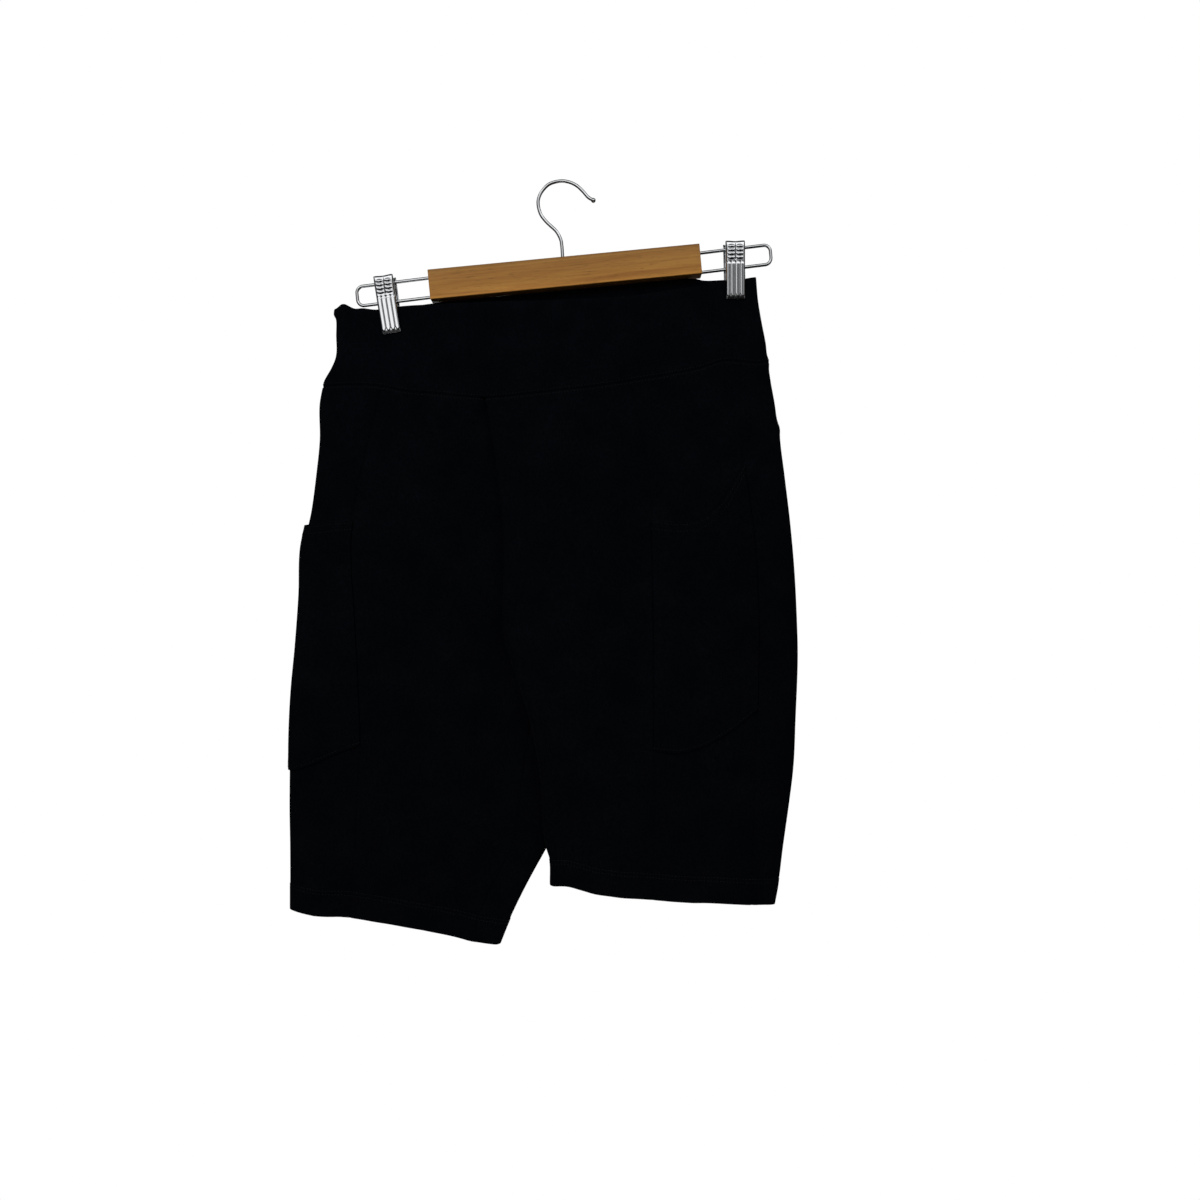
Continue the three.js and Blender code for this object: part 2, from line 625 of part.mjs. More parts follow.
// A wire loop on one end of the bar: out, round two corners and back to the bar's end.
function loopGeometry(direction) {
  const { reach, height, drop, corner } = LOOP;
  const [upper, lower] = [height / 2 - drop, -height / 2 - drop];
  const start = BAR.length / 2 + SEAM_GAP;
  const end = BAR.length / 2 + reach - LOOP_WIRE;
  const at = (x, z) => new THREE.Vector3(direction * x, 0, z);
  const [upperBend, upperTurn] = [at(end - corner, upper), at(end, upper - corner)];
  const [lowerTurn, lowerBend] = [at(end, lower + corner), at(end - corner, lower)];
  const path = new THREE.CurvePath();
  path.add(new THREE.LineCurve3(at(start, upper), upperBend));
  path.add(new THREE.QuadraticBezierCurve3(upperBend, at(end, upper), upperTurn));
  path.add(new THREE.LineCurve3(upperTurn, lowerTurn));
  path.add(new THREE.QuadraticBezierCurve3(lowerTurn, at(end, lower), lowerBend));
  path.add(new THREE.LineCurve3(lowerBend, at(start, lower)));
  return wire(path, LOOP_WIRE, 56, 8);
}

// A clip's plate: a bent channel through stations down its length. y is its outer face and tip
// is how far in its side flanges reach, both as distances from the clip's middle plane.
const PLATE = [
  { z: 0, y: 7.4, tip: 5.6 },
  { z: -1.2, y: 7.7, tip: 4.6 },
  { z: -17, y: 6.9, tip: 3.6 },
  { z: -20.5, y: 6.6, tip: 3.2 },
  { z: -33, y: 4.7, tip: 2.6 },
  { z: -44, y: 3.3, tip: 2.25 },
  { z: -47.6, y: 3.15, tip: 2.25 },
  { z: -50.2, y: 4.2, tip: 3.3 },
];

function plateGeometry(direction, width) {
  const half = width / 2;
  const inner = half - CLIP.sheet;
  return loft(PLATE.map(({ z, y, tip }) => {
    const web = y - CLIP.sheet;
    const flange = Math.min(tip, web - 0.05);
    const corners = [
      [-half, flange], [-half, y], [half, y], [half, flange],
      [inner, flange], [inner, web], [-inner, web], [-inner, flange],
    ];
    return corners.map(([x, depth]) => new THREE.Vector3(x, direction * depth, z));
  }));
}

// The clip's spring: a strip hung under the lower wire, its legs pressing the handles apart.
const SPRING_LEG = [[5.6, -3.5], [5.0, -13], [2.75, -22.5]];
const SPRING_TURN = { z: -24.0, radius: 2.35, sheet: 0.5 };

function springGeometry() {
  const { z, radius, sheet } = SPRING_TURN;
  const middle = [
    ...SPRING_LEG.map(([y, height]) => [-y, height]),
    ...steps(Math.PI, 2 * Math.PI, 6).map((a) => [
      (radius + sheet / 2) * Math.cos(a), z + (radius + sheet / 2) * Math.sin(a),
    ]),
    ...[...SPRING_LEG].reverse(),
  ];
  const moved = (side) => middle.map(([y, height], i) => {
    const [y0, z0] = middle[Math.max(i - 1, 0)];
    const [y1, z1] = middle[Math.min(i + 1, middle.length - 1)];
    const length = Math.hypot(y1 - y0, z1 - z0);
    return new THREE.Vector2(y - ((z1 - z0) / length) * side, height + ((y1 - y0) / length) * side);
  });
  const outline = new THREE.Shape([...moved(sheet / 2), ...moved(-sheet / 2).reverse()]);
  return extrudedAlongX(outline, CLIP.springWidth);
}

// ---------------------------------------------------------------- assembly

function piece(name, geometry, finish) {
  const mesh = new THREE.Mesh(geometry, new THREE.MeshStandardMaterial(finish));
  mesh.name = name;
  return mesh;
}

function shorts() {
  const group = new THREE.Group();
  const panel = (name, rows) => group.add(piece(name, clothWall(rows, PANEL_WALL), BLACK_KNIT));
  group.add(piece('waistband_front', clothWall(bandRows('front'), BAND_WALL), BLACK_KNIT));
  group.add(piece('waistband_back', clothWall(bandRows('back'), BAND_WALL), BLACK_KNIT));
  for (const part of ['front', 'side', 'back']) {
    panel(`${part}_panel_right`, rightRows.map((row) => row[part]));
    panel(`${part}_panel_left`, leftRows.map((row) => row[part]));
  }
  for (const pocket of POCKETS) {
    group.add(piece(`pocket_${pocket.side}`, clothWall(pocketRows(pocket), POCKET_WALL), BLACK_KNIT));
  }
  return group;
}

function hanger() {
  const group = new THREE.Group();
  group.add(piece('hook', hookGeometry(), CHROME));
  const tilted = new THREE.Group();
  tilted.position.set(BAR.x, 0, BAR.z);
  tilted.rotation.y = -HANGER_TILT;
  tilted.add(piece('wood_bar', barGeometry(), LACQUERED_WOOD));
  tilted.add(piece('wire_loop_left', loopGeometry(-1), CHROME));
  tilted.add(piece('wire_loop_right', loopGeometry(1), CHROME));
  group.add(tilted);
  for (const { side, x, z, lean } of CLIPS) {
    const clip = new THREE.Group();
    clip.position.set(x, 0, z);
    clip.rotation.y = -THREE.MathUtils.degToRad(lean);
    clip.add(piece(`clip_${side}_front_plate`, plateGeometry(-1, CLIP.width), CHROME));
    clip.add(piece(`clip_${side}_back_plate`, plateGeometry(1, CLIP.width + CLIP.backExtra), CHROME));
    clip.add(piece(`clip_${side}_spring`, springGeometry(), CHROME));
    group.add(clip);
  }
  return group;
}

const model = new THREE.Group();
model.add(shorts(), hanger());

export default model;
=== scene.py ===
"""Long-leg athletic shorts hung flat by the waistband from a wooden clip hanger.

The sizes in this file are millimetres, and meshes are turned to metres as they are made.
+Z is up, the front of the shorts faces -Y and +X is to the viewer's right, and left and right
in the names are the viewer's. The origin is the inside top of the hanger's hook.

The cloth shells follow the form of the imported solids: one hollow ring above the crotch and two
below it, with both legs laid the same way round. On top of that form come the soft folds, the
rolled seams, the hems, the puckers and the stitching.
"""

import logging
import math
from dataclasses import dataclass
from enum import Enum
from typing import Iterable, Sequence

import bmesh
import bpy
import numpy as np
from bpy.types import Material, Node, NodeSocket, NodeTree, Object
from mathutils import Matrix, Vector


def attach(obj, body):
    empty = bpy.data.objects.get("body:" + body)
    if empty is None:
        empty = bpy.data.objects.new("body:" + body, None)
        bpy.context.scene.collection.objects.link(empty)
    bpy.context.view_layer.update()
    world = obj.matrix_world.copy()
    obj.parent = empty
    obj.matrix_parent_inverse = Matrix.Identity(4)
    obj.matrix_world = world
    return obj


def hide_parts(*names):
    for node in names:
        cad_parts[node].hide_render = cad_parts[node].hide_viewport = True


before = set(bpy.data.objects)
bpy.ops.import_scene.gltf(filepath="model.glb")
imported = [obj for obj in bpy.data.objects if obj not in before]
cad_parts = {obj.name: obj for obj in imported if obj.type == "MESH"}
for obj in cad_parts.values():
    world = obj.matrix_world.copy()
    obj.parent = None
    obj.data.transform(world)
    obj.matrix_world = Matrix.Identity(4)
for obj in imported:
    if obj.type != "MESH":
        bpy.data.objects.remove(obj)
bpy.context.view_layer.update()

LOG = logging.getLogger("shorts")
MM = 0.001
SEED = 7
UV_UNIT = 100.0
CLOTH_UV = "cloth"
TURN, HALF_TURN, QUARTER = 2 * math.pi, math.pi, math.pi / 2
Array = np.ndarray
Colour = tuple[float, float, float, float]
Pair = tuple[float, float]


# ------------------------------------------------------------------ small helpers


def linear(colour: str) -> Colour:
    """Turns an sRGB hex colour to linear light.

    Args:
        colour: six hex digits, such as "92703f".

    Returns:
        Linear red, green, blue and an alpha of 1.
    """
    shares = [int(colour[i:i + 2], 16) / 255 for i in (0, 2, 4)]
    light = [s / 12.92 if s <= 0.04045 else ((s + 0.055) / 1.055) ** 2.4 for s in shares]
    return (light[0], light[1], light[2], 1.0)


def smoothstep(start: float, end: float, value: Array) -> Array:
    """Rises smoothly from 0 at start to 1 at end."""
    s = np.clip((value - start) / (end - start), 0.0, 1.0)
    return s * s * (3.0 - 2.0 * s)


def mix(a: Array, b: Array, share: Array) -> Array:
    """Blends from a to b by a share from 0 to 1."""
    return a + (b - a) * share


def hump(distance: Array, width: float) -> Array:
    """A soft hump of height 1 that is about twice the width across."""
    return np.exp(-(distance / width) ** 2)


class Track:
    """A smooth line through a short table of (place, value) rows."""

    def __init__(self, *rows: Pair) -> None:
        """Sorts the rows and finds the slope at each.

        Args:
            rows: pairs of a place and the value there, in any order.
        """
        self.keys, self.values = np.array(sorted(rows), float).T
        slopes = np.diff(self.values) / np.diff(self.keys)
        inner = (slopes[1:] + slopes[:-1]) / 2
        self.slopes = np.concatenate([slopes[:1], inner, slopes[-1:]])

    def __call__(self, at: Array) -> Array:
        """Reads the line at places, which are held inside its ends.

        Args:
            at: the places to read it at.

        Returns:
            The value at each place.
        """
        at = np.clip(np.asarray(at, float), self.keys[0], self.keys[-1])
        i = np.clip(np.searchsorted(self.keys, at, side="right") - 1, 0, len(self.keys) - 2)
        span = self.keys[i + 1] - self.keys[i]
        s = (at - self.keys[i]) / span
        start = (2 * s ** 3 - 3 * s ** 2 + 1) * self.values[i]
        end = (3 * s ** 2 - 2 * s ** 3) * self.values[i + 1]
        leave = (s ** 3 - 2 * s ** 2 + s) * span * self.slopes[i]
        arrive = (s ** 3 - s ** 2) * span * self.slopes[i + 1]
        return start + leave + end + arrive


def plug(socket: NodeSocket, value: object) -> None:
    """Gives an input socket a value, or a link from a socket or from a node's first output.

    Args:
        socket: the input socket.
        value: a constant, an output socket or a node.
    """
    if isinstance(value, Node):
        value = value.outputs[0]
    if isinstance(value, NodeSocket):
        socket.id_data.links.new(value, socket)
    else:
        socket.default_value = value


class Nodes:
    """A node tree, with short ways to add the nodes that this file uses."""

    def __init__(self, tree: NodeTree) -> None:
        """Keeps the tree that gets the nodes."""
        self.tree = tree

    def add(self, kind: str, inputs: dict | None = None, **settings: object) -> Node:
        """Adds one node.

        Args:
            kind: the node's type, without its prefix where that is "ShaderNode".
            inputs: input name or number, and the constant, socket or node that it takes.
            settings: the node's own properties, which are set before its inputs.

        Returns:
            The new node.
        """
        node = self.tree.nodes.new(kind if "Node" in kind else f"ShaderNode{kind}")
        for name, value in settings.items():
            setattr(node, name, value)
        for name, value in (inputs or {}).items():
            plug(node.inputs[name], value)
        return node

    def calc(self, operation: str, *values: object) -> Node:
        """Adds a Math node."""
        return self.add("Math", dict(enumerate(values)), operation=operation)

    def noise(self, place: object, scale: float, detail: float = 2.0) -> Node:
        """Adds a noise texture."""
        return self.add("TexNoise", {"Vector": place, "Scale": scale, "Detail": detail})

    def stretched(self, place: object, **values: object) -> Node:
        """Adds a mapping that turns (Rotation) or stretches (Scale) coordinates."""
        return self.add("Mapping", {"Vector": place, **values})

    def bump(self, height: object, distance: float, strength: float = 1.0) -> Node:
        """Adds relief, whose distance is in metres."""
        return self.add("Bump", {"Height": height, "Distance": distance, "Strength": strength})

    def span(self, value: object, *ends: float) -> Node:
        """Maps low to high onto 0 to 1, or onto a third and a fourth number."""
        return self.add("MapRange", dict(enumerate((value, *ends))))

    def ramp(self, share: object, *stops: tuple[float, Colour]) -> Node:
        """Adds a colour ramp.

        Args:
            share: the place along the ramp, from 0 to 1.
            stops: (position, colour) pairs, rising.

        Returns:
            The new node.
        """
        made = self.add("ValToRGB", {0: share})
        elements = made.color_ramp.elements
        for element, (position, colour) in zip(elements, (stops[0], stops[-1])):
            element.position, element.color = position, colour
        for position, colour in stops[1:-1]:
            elements.new(position).color = colour
        return made

    def blend(self, share: object, a: object, b: object, how: str = "MIX") -> NodeSocket:
        """Blends two colours."""
        made = self.add("Mix", {0: share, 6: a, 7: b}, data_type="RGBA", blend_type=how)
        return made.outputs[2]


def put(name: str, data: bpy.types.ID) -> Object:
    """Makes an object at the origin and links it to the scene.

    Args:
        name: the object's name.
        data: its mesh, curve or light.

    Returns:
        The object.
    """
    made = bpy.data.objects.new(name, data)
    bpy.context.scene.collection.objects.link(made)
    return made


def mesh_object(name: str, points: Array, faces: Sequence[Sequence[int]],
                smooth: bool = True) -> Object:
    """Makes an object at the origin.

    Args:
        name: the object's name.
        points: the points in millimetres, one row each.
        faces: the point numbers round each face.
        smooth: whether the faces are shaded smooth.

    Returns:
        The new object, linked to the scene.
    """
    mesh = bpy.data.meshes.new(name)
    mesh.from_pydata((np.asarray(points, float) * MM).tolist(), [], [tuple(f) for f in faces])
    mesh.validate()
    mesh.polygons.foreach_set("use_smooth", [smooth] * len(mesh.polygons))
    return put(name, mesh)


def loft(name: str, rings: Sequence[Sequence[Sequence[float]]], smooth: bool = True) -> Object:
    """Makes a closed solid through rings of points, with a flat face on the first and the last.

    Args:
        name: the object's name.
        rings: rings with the same number of points, in millimetres.
        smooth: whether the faces are shaded smooth.

    Returns:
        The new object, linked to the scene.
    """
    count, sides = len(rings), len(rings[0])
    faces = [list(range(sides)), list(range((count - 1) * sides, count * sides))]
    for first in range(0, (count - 1) * sides, sides):
        for i in range(sides):
            after = (i + 1) % sides
            faces.append([first + i, first + after, first + sides + after, first + sides + i])
    return face_outwards(mesh_object(name, np.reshape(rings, (-1, 3)), faces, smooth))


def face_outwards(piece: Object) -> Object:
    """Turns the faces of a closed mesh to point out of it.

    Args:
        piece: the mesh's object, whose doubles are merged first.

    Returns:
        The same object.
    """
    work = bmesh.new()
    work.from_mesh(piece.data)
    bmesh.ops.remove_doubles(work, verts=work.verts, dist=1e-7)
    bmesh.ops.recalc_face_normals(work, faces=work.faces)
    work.to_mesh(piece.data)
    work.free()
    return piece


def dress(piece: Object, material: Material) -> Object:
    """Gives a piece its one material.

    Args:
        piece: the piece.
        material: what it is dressed in.

    Returns:
        The same piece.
    """
    piece.data.materials.clear()
    piece.data.materials.append(material)
    return piece


def keep(piece: Object, node: str = "") -> Object:
    """Rides a piece on the one body, and hides the imported node that it replaces.

    Args:
        piece: the finished piece.
        node: the node it replaces, or nothing for a piece that replaces none.

    Returns:
        The same piece.
    """
    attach(piece, "root")
    if node:
        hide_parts(node)
    LOG.info("%s: %d faces", piece.name, len(piece.data.polygons))
    return piece


# ------------------------------------------------------------------ finishes


class Finish:
    """A material of one Principled shader, whose sockets take what values() says."""

    name = ""

    def values(self, nodes: Nodes, place: NodeSocket) -> dict[str, object]:
        """Adds the finish's nodes.

        Args:
            nodes: the material's tree.
            place: Object coordinates, in metres.

        Returns:
            Constants and links by the shader's socket names, with spaces as underscores.
        """
        raise NotImplementedError

    def material(self) -> Material:
        """Builds the material.

        Returns:
            The new material.
        """
        made = bpy.data.materials.new(self.name)
        made.use_nodes = True
        nodes = Nodes(made.node_tree)
        shader = nodes.tree.nodes["Principled BSDF"]
        for name, value in self.values(nodes, nodes.add("TexCoord").outputs["Object"]).items():
            plug(shader.inputs[name.replace("_", " ")], value)
        return made


@dataclass(frozen=True)
class StretchKnit(Finish):
    """Polyester and elastane jersey, dyed near black and heat-set: matt, with a faint nap."""

    name: str = "polyester_elastane_jersey"
    dye: str = "020305"
    nap: str = "06070a"
    sheen: str = "9aa0a8"
    wale: float = 1.5       # drawn about twice as coarse as the knit, so that it shows
    course: float = 1.25
    chevron: float = 2.2    # how far the loops of a course lean into each wale
    course_share: float = 0.4
    nap_share: float = 1.5
    nap_scale: float = 420.0
    cloud_scale: float = 38.0
    relief: float = 0.00016
    roughness: Pair = (0.18, 0.76)      # its drift, and its least

    def values(self, nodes: Nodes, place: NodeSocket) -> dict[str, object]:
        """Draws the knit on the cloth's own UV map, whose unit is 100 mm.

        Args:
            nodes: the material's tree.
            place: Object coordinates, in metres, for the nap and its cloudiness.

        Returns:
            Constants and links by the shader's socket names.
        """
        flat = nodes.add("SeparateXYZ", {0: nodes.add("UVMap", uv_map=CLOTH_UV)}).outputs
        across = nodes.calc("MULTIPLY", flat[0], UV_UNIT * TURN / self.wale)
        along = nodes.calc("MULTIPLY", flat[1], UV_UNIT * TURN / self.course)
        column = nodes.calc("COSINE", across)
        row = nodes.calc("SINE", nodes.calc("MULTIPLY_ADD", column, self.chevron, along))
        loops = nodes.calc("MULTIPLY_ADD", row, self.course_share, column)
        nap = nodes.noise(place, self.nap_scale, 4.0)
        cloudy = nodes.noise(place, self.cloud_scale, 3.0)
        ragged = nodes.calc("MULTIPLY_ADD", nap, self.nap_share, loops)
        shade = nodes.ramp(nodes.calc("MULTIPLY", nap, cloudy),
                           (0.12, linear(self.dye)), (0.46, linear(self.nap)))
        rough = nodes.calc("MULTIPLY_ADD", cloudy, *self.roughness)
        return dict(Base_Color=shade, Roughness=rough, Normal=nodes.bump(ragged, self.relief, 0.7),
                    Specular_IOR_Level=0.03, Sheen_Weight=0.012, Sheen_Roughness=0.4,
                    Sheen_Tint=linear(self.sheen))


@dataclass(frozen=True)
class SpunThread(Finish):
    """Black spun polyester thread: two twisted plies with a slight gloss on each turn."""

    name: str = "spun_polyester_thread"
    dye: str = "0a0b0e"
    slant: float = 0.8
    ply_scale: float = 520.0
    twist: float = 0.00008

    def values(self, nodes: Nodes, place: NodeSocket) -> dict[str, object]:
        """Draws the twist as slanting bands, a little coarser than real plies.

        Args:
            nodes: the material's tree.
            place: Object coordinates, in metres.

        Returns:
            Constants and links by the shader's socket names.
        """
        turned = nodes.stretched(place, Rotation=(0.0, self.slant, 0.0))
        plies = nodes.add("TexWave", {"Vector": turned, "Scale": self.ply_scale})
        return dict(Base_Color=linear(self.dye), Roughness=0.5, Specular_IOR_Level=0.15,
                    Normal=nodes.bump(plies.outputs[1], self.twist))


@dataclass(frozen=True)
class LacqueredWood(Finish):
    """Sawn hardwood under a thin warm lacquer: straight fine grain, faint rings, short pores."""

    name: str = "lacquered_hardwood"
    pale: str = "bb863e"
    mean: str = "a97433"
    ring: str = "976329"
    pore: str = "67441d"
    tilt: float = 0.0
    low: float = -0.0915        # the bar's two edges on the turned upward axis, in metres
    high: float = -0.0659
    relief: float = 0.00005
    grain: tuple[tuple[float, float, float], ...] = (  # scales along and across, and detail
        (4.5, 150.0, 3.0), (45.0, 1500.0, 5.0), (110.0, 1700.0, 1.0),
    )
    painted_shade: tuple[Pair, ...] = (  # painted shade at shares of the height: the underside dark for its shadow, and the top darker for how the light falls
        (0.0, 0.35), (0.008, 0.4), (0.02, 1.0), (0.06, 0.93), (0.10, 0.80), (0.45, 0.66),
        (0.80, 0.62), (0.95, 0.52), (1.0, 0.40),
    )

    def values(self, nodes: Nodes, place: NodeSocket) -> dict[str, object]:
        """Draws the grain along the bar, on turned Object coordinates, with painted shade on the
        underside and towards the top.

        Args:
            nodes: the material's tree.
            place: Object coordinates, in metres.

        Returns:
            Constants and links by the shader's socket names.
        """
        turned = nodes.stretched(place, Rotation=(0.0, self.tilt, 0.0))
        rings, fibre, pores = (
            nodes.noise(nodes.stretched(turned, Scale=(length, width, width)), 1.0, detail)
            for length, width, detail in self.grain)
        plug(rings.inputs["Distortion"], 0.6)
        tone = nodes.ramp(nodes.calc("MULTIPLY_ADD", fibre, 0.45, rings), (0.5, linear(self.ring)),
                          (0.68, linear(self.mean)), (0.9, linear(self.pale)))
        pit = nodes.span(pores, 0.62, 0.74)
        stained = nodes.blend(nodes.calc("MULTIPLY", pit, 0.55), tone, linear(self.pore))
        # Painted shade: this ramp darkens the wood's colour on the bar's underside, for its shadow,
        # and towards its top, for how the light falls.
        up = nodes.add("SeparateXYZ", {0: turned}).outputs[2]
        painted_shade_tone = nodes.ramp(nodes.span(up, self.low, self.high),
                           *((position, (grey, grey, grey, 1.0)) for position, grey in self.painted_shade))
        height = nodes.calc("SUBTRACT", fibre, pit)
        return dict(Base_Color=nodes.blend(1.0, stained, painted_shade_tone, "MULTIPLY"), Roughness=0.48,
                    Normal=nodes.bump(height, self.relief, 0.5), Coat_Weight=0.2,
                    Coat_Roughness=0.25, Specular_IOR_Level=0.3)


@dataclass(frozen=True)
class ChromePlate(Finish):
    """Steel under bright chrome: mirror-like, with faint smears and fine polishing lines."""

    name: str = "chromed_steel"
    metal: str = "dcdee0"
    smoothest: float = 0.07
    smears: float = 0.12
    polish: tuple[float, float, float] = (2600.0, 2600.0, 120.0)
    scratch: float = 0.00001

    def values(self, nodes: Nodes, place: NodeSocket) -> dict[str, object]:
        """Draws the plating with roughness that drifts a little from place to place.

        Args:
            nodes: the material's tree.
            place: Object coordinates, in metres.

        Returns:
            Constants and links by the shader's socket names.
        """
        lines = nodes.noise(nodes.stretched(place, Scale=self.polish), 1.0)
        drift = nodes.noise(place, 160.0, 4.0)
        rough = nodes.calc("MULTIPLY_ADD", drift, self.smears, self.smoothest)
        return dict(Base_Color=linear(self.metal), Metallic=1.0, Roughness=rough,
                    Normal=nodes.bump(lines, self.scratch, 0.35))


@dataclass(frozen=True)
class PaleFloor(Finish):
    """Matt pale studio board: faintly mottled, so that it reads as a real surface."""

    name: str = "matt_studio_board"
    paint: str = "e9e9e7"
    shadow: str = "dededc"

    def values(self, nodes: Nodes, place: NodeSocket) -> dict[str, object]:
        """Draws the board with a soft mottle.

        Args:
            nodes: the material's tree.
            place: Object coordinates, in metres.

        Returns:
            Constants and links by the shader's socket names.
        """
        mottle = nodes.noise(place, 9.0, 5.0)
        return dict(Base_Color=nodes.blend(mottle, linear(self.shadow), linear(self.paint)),
                    Roughness=0.85)


# ------------------------------------------------------------------ the garment's form


class OneOfTwo(Enum):
    """A choice of two."""

    @property
    def other(self) -> "OneOfTwo":
        """The other choice."""
        first, second = type(self)
        return second if self is first else first


class Side(OneOfTwo):
    """Which half of the shorts, as seen from the front."""

    RIGHT = "right"
    LEFT = "left"

    @property
    def sign(self) -> float:
        """1 on the right and -1 on the left."""
        return 1.0 if self is Side.RIGHT else -1.0


class Face(OneOfTwo):
    """Which face of the hung garment."""

    FRONT = "front"
    BACK = "back"


@dataclass(frozen=True)
class Section:
    """One section of the body or legs.

    The heights are those at the side edges and at the inner folds. lap is from a fold to the seam
    behind it, layer from the near wall to the layer behind it, and depth is across the hollow.
    """

    right_out: float
    left_out: float
    right_in: float
    left_in: float
    lap: float
    layer: float
    depth: float


SECTIONS = (
    Section(-155, -176.5, -187, -187, 6, 1.8, 19),
    Section(-176, -195, -206, -206, 8.5, 2.5, 20),
    Section(-205, -221, -230, -230, 12, 3.4, 21.5),
    Section(-238, -250, -258, -258, 16, 4.4, 23),
    Section(-274, -282, -288, -288, 20, 5.6, 24),
    Section(-310, -314, -318, -318, 24, 7, 25),
    Section(-342, -343, -346, -346, 27, 8.6, 25),
    Section(-366, -366, -368, -368, 29.5, 10.2, 25),
    Section(-386, -386, -386, -386, 36.5, 11.6, 25),
    Section(-410, -412, -409, -413, 36, 11.6, 25),
    Section(-442, -446, -440, -450, 35, 11.6, 25),
    Section(-478, -484, -474, -492, 33.5, 11.6, 25),
    Section(-515, -522, -509, -534, 32, 11.4, 24.5),
    Section(-550, -560, -543, -576, 30, 11.1, 24),
    Section(-582, -594, -573, -616, 28, 12.4, 23.5),
    Section(-606, -615, -593, -641, 26, 15, 23),
    Section(-622.8, -627, -607.2, -657.4, 25, 16.5, 23),
)
CROTCH_ROW = 8
LAST_ROW = len(SECTIONS) - 1

# The seams and edges below give a place across for each height.
EDGE = {
    Side.RIGHT: Track(
        (-155, 177.9), (-159, 177.5), (-170, 178.8), (-191, 182.5), (-206, 184.8), (-212.5, 187.0),
        (-219, 187.0), (-253, 191.0), (-295, 196.1), (-336, 199.7), (-378, 201.8), (-409, 202.5),
        (-461, 200.7), (-503, 198.9), (-534, 195.3), (-575, 189.6), (-606, 185.6), (-623, 182.4)),
    Side.LEFT: Track(
        (-176.5, -207.0), (-191, -209.8), (-222, -209.8), (-253, -212.8), (-285, -217.2),
        (-300, -220.5), (-316, -223.9), (-357, -225.4), (-399, -228.7), (-440, -232.8),
        (-482, -235.2), (-534, -235.9), (-580, -235.3), (-627, -235.3)),
}
FOLD = {
    Side.RIGHT: Track(
        (-187, -65.7), (-240, -57.5), (-293, -50.8), (-345, -50.3), (-386, -51.0), (-404, -46.7),
        (-438, -35.5), (-465, -27.7), (-513, -19.0), (-571, -14.7), (-586, -10.8), (-607, -10.4)),
    Side.LEFT: Track(
        (-187, 37.1), (-240, 30.5), (-293, 25.5), (-345, 23.5), (-386, 22.0), (-404, 19.0),
        (-438, 12.0), (-465, 7.0), (-513, -2.0), (-545, -7.6), (-572, -13.2), (-581, -17.7),
        (-590, -22.8), (-611, -34.1), (-633, -44.8), (-657, -54.6)),
}
PRINCESS = {
    Side.RIGHT: Track(
        (-175, 58.0), (-222, 67.5), (-279, 75.3), (-362, 77.9), (-482, 78.7), (-616, 77.0)),
    Side.LEFT: Track(
        (-177, -154.0), (-222, -165.2), (-272, -176.5), (-309, -181.7), (-367, -179.1),
        (-430, -175.6), (-484, -173.9), (-636, -182.0)),
}
REAR = {
    Side.RIGHT: Track(
        (-160, 152.2), (-245, 154.5), (-309, 163.5), (-369, 167.0), (-457, 166.5), (-621, 162.0)),
    Side.LEFT: Track(
        (-177, -166.0), (-272, -171.0), (-309, -183.0), (-367, -191.0), (-430, -205.0),
        (-484, -209.0), (-630, -200.0)),
}
# The yoke seam's height at places across, on each face.
YOKE = {
    Face.FRONT: Track(
        (-207.0, -176.5), (-175, -176.0), (-155, -177.6), (-136, -181.4), (-112, -183.4),
        (-88, -185.6), (-65.7, -187.0), (-38, -185.0), (3.5, -180.0), (32, -176.8),
        (74.4, -170.2), (104.7, -164.8), (122, -160.8), (133, -156.6), (142, -155.2),
        (153, -156.0), (166, -156.8), (176.6, -155.0)),
    Face.BACK: Track(
        (-207.0, -176.5), (-150, -179.4), (-90, -182.4), (-30, -185.4), (37.1, -187.0),
        (80, -180.6), (120, -170.0), (150, -162.0), (176.6, -155.0)),
}
YOKE_ROWS = 4           # rows over which the yoke seam's curve fades out
# How far each hem stands above a straight line, at places across.
HEM_BOW = {
    Side.RIGHT: Track(
        (-11, 1.7), (3.5, 3.0), (15.6, 0.9), (27.7, -1.5), (40, -2.4), (52, -3.0), (64, -2.6),
        (112, -2.6), (124, -1.7), (148, -0.9), (173, 0)),
    Side.LEFT: Track(
        (-213, 0), (-202, 1.7), (-191, 4.0), (-180, 5.2), (-98, 5.2), (-88, 4.4), (-77, 3.2),
        (-66, 1.5), (-55, 0)),
}
HEM_BOW_ROW = 12.0      # the row where the hem's bow starts to show

PANEL_WALL = 1.2
BAND_WALL = 1.6
BAG_WALL = 0.9
SEAM_GAP = 0.08
GAP = SEAM_GAP / 2      # from the middle of a seam to each piece
LAYER_PITCH = 1.8       # between two layers that lie on each other in a fold
EDGE_SOFTNESS = 25.0    # how far in from a side edge the hollow opens to its full depth
LAP_REACH = 70.0        # width over which a wall slopes back under the other leg
SEWN_REACH = 7.0        # and that width at the yoke, where both faces are sewn
SEWN_ROWS = 3.5         # rows over which the one changes to the other
LAP_MARGIN = 4.0
FOLD_ROUND = 5.0
FLAT_END, TURN_END = 1.6, 1.2   # plain widths beside a closed leg's inseam
TURN_STEPS = 5


def section_track(name: str) -> Track:
    """A smooth line through one column of the section table."""
    return Track(*((row, getattr(section, name)) for row, section in enumerate(SECTIONS)))


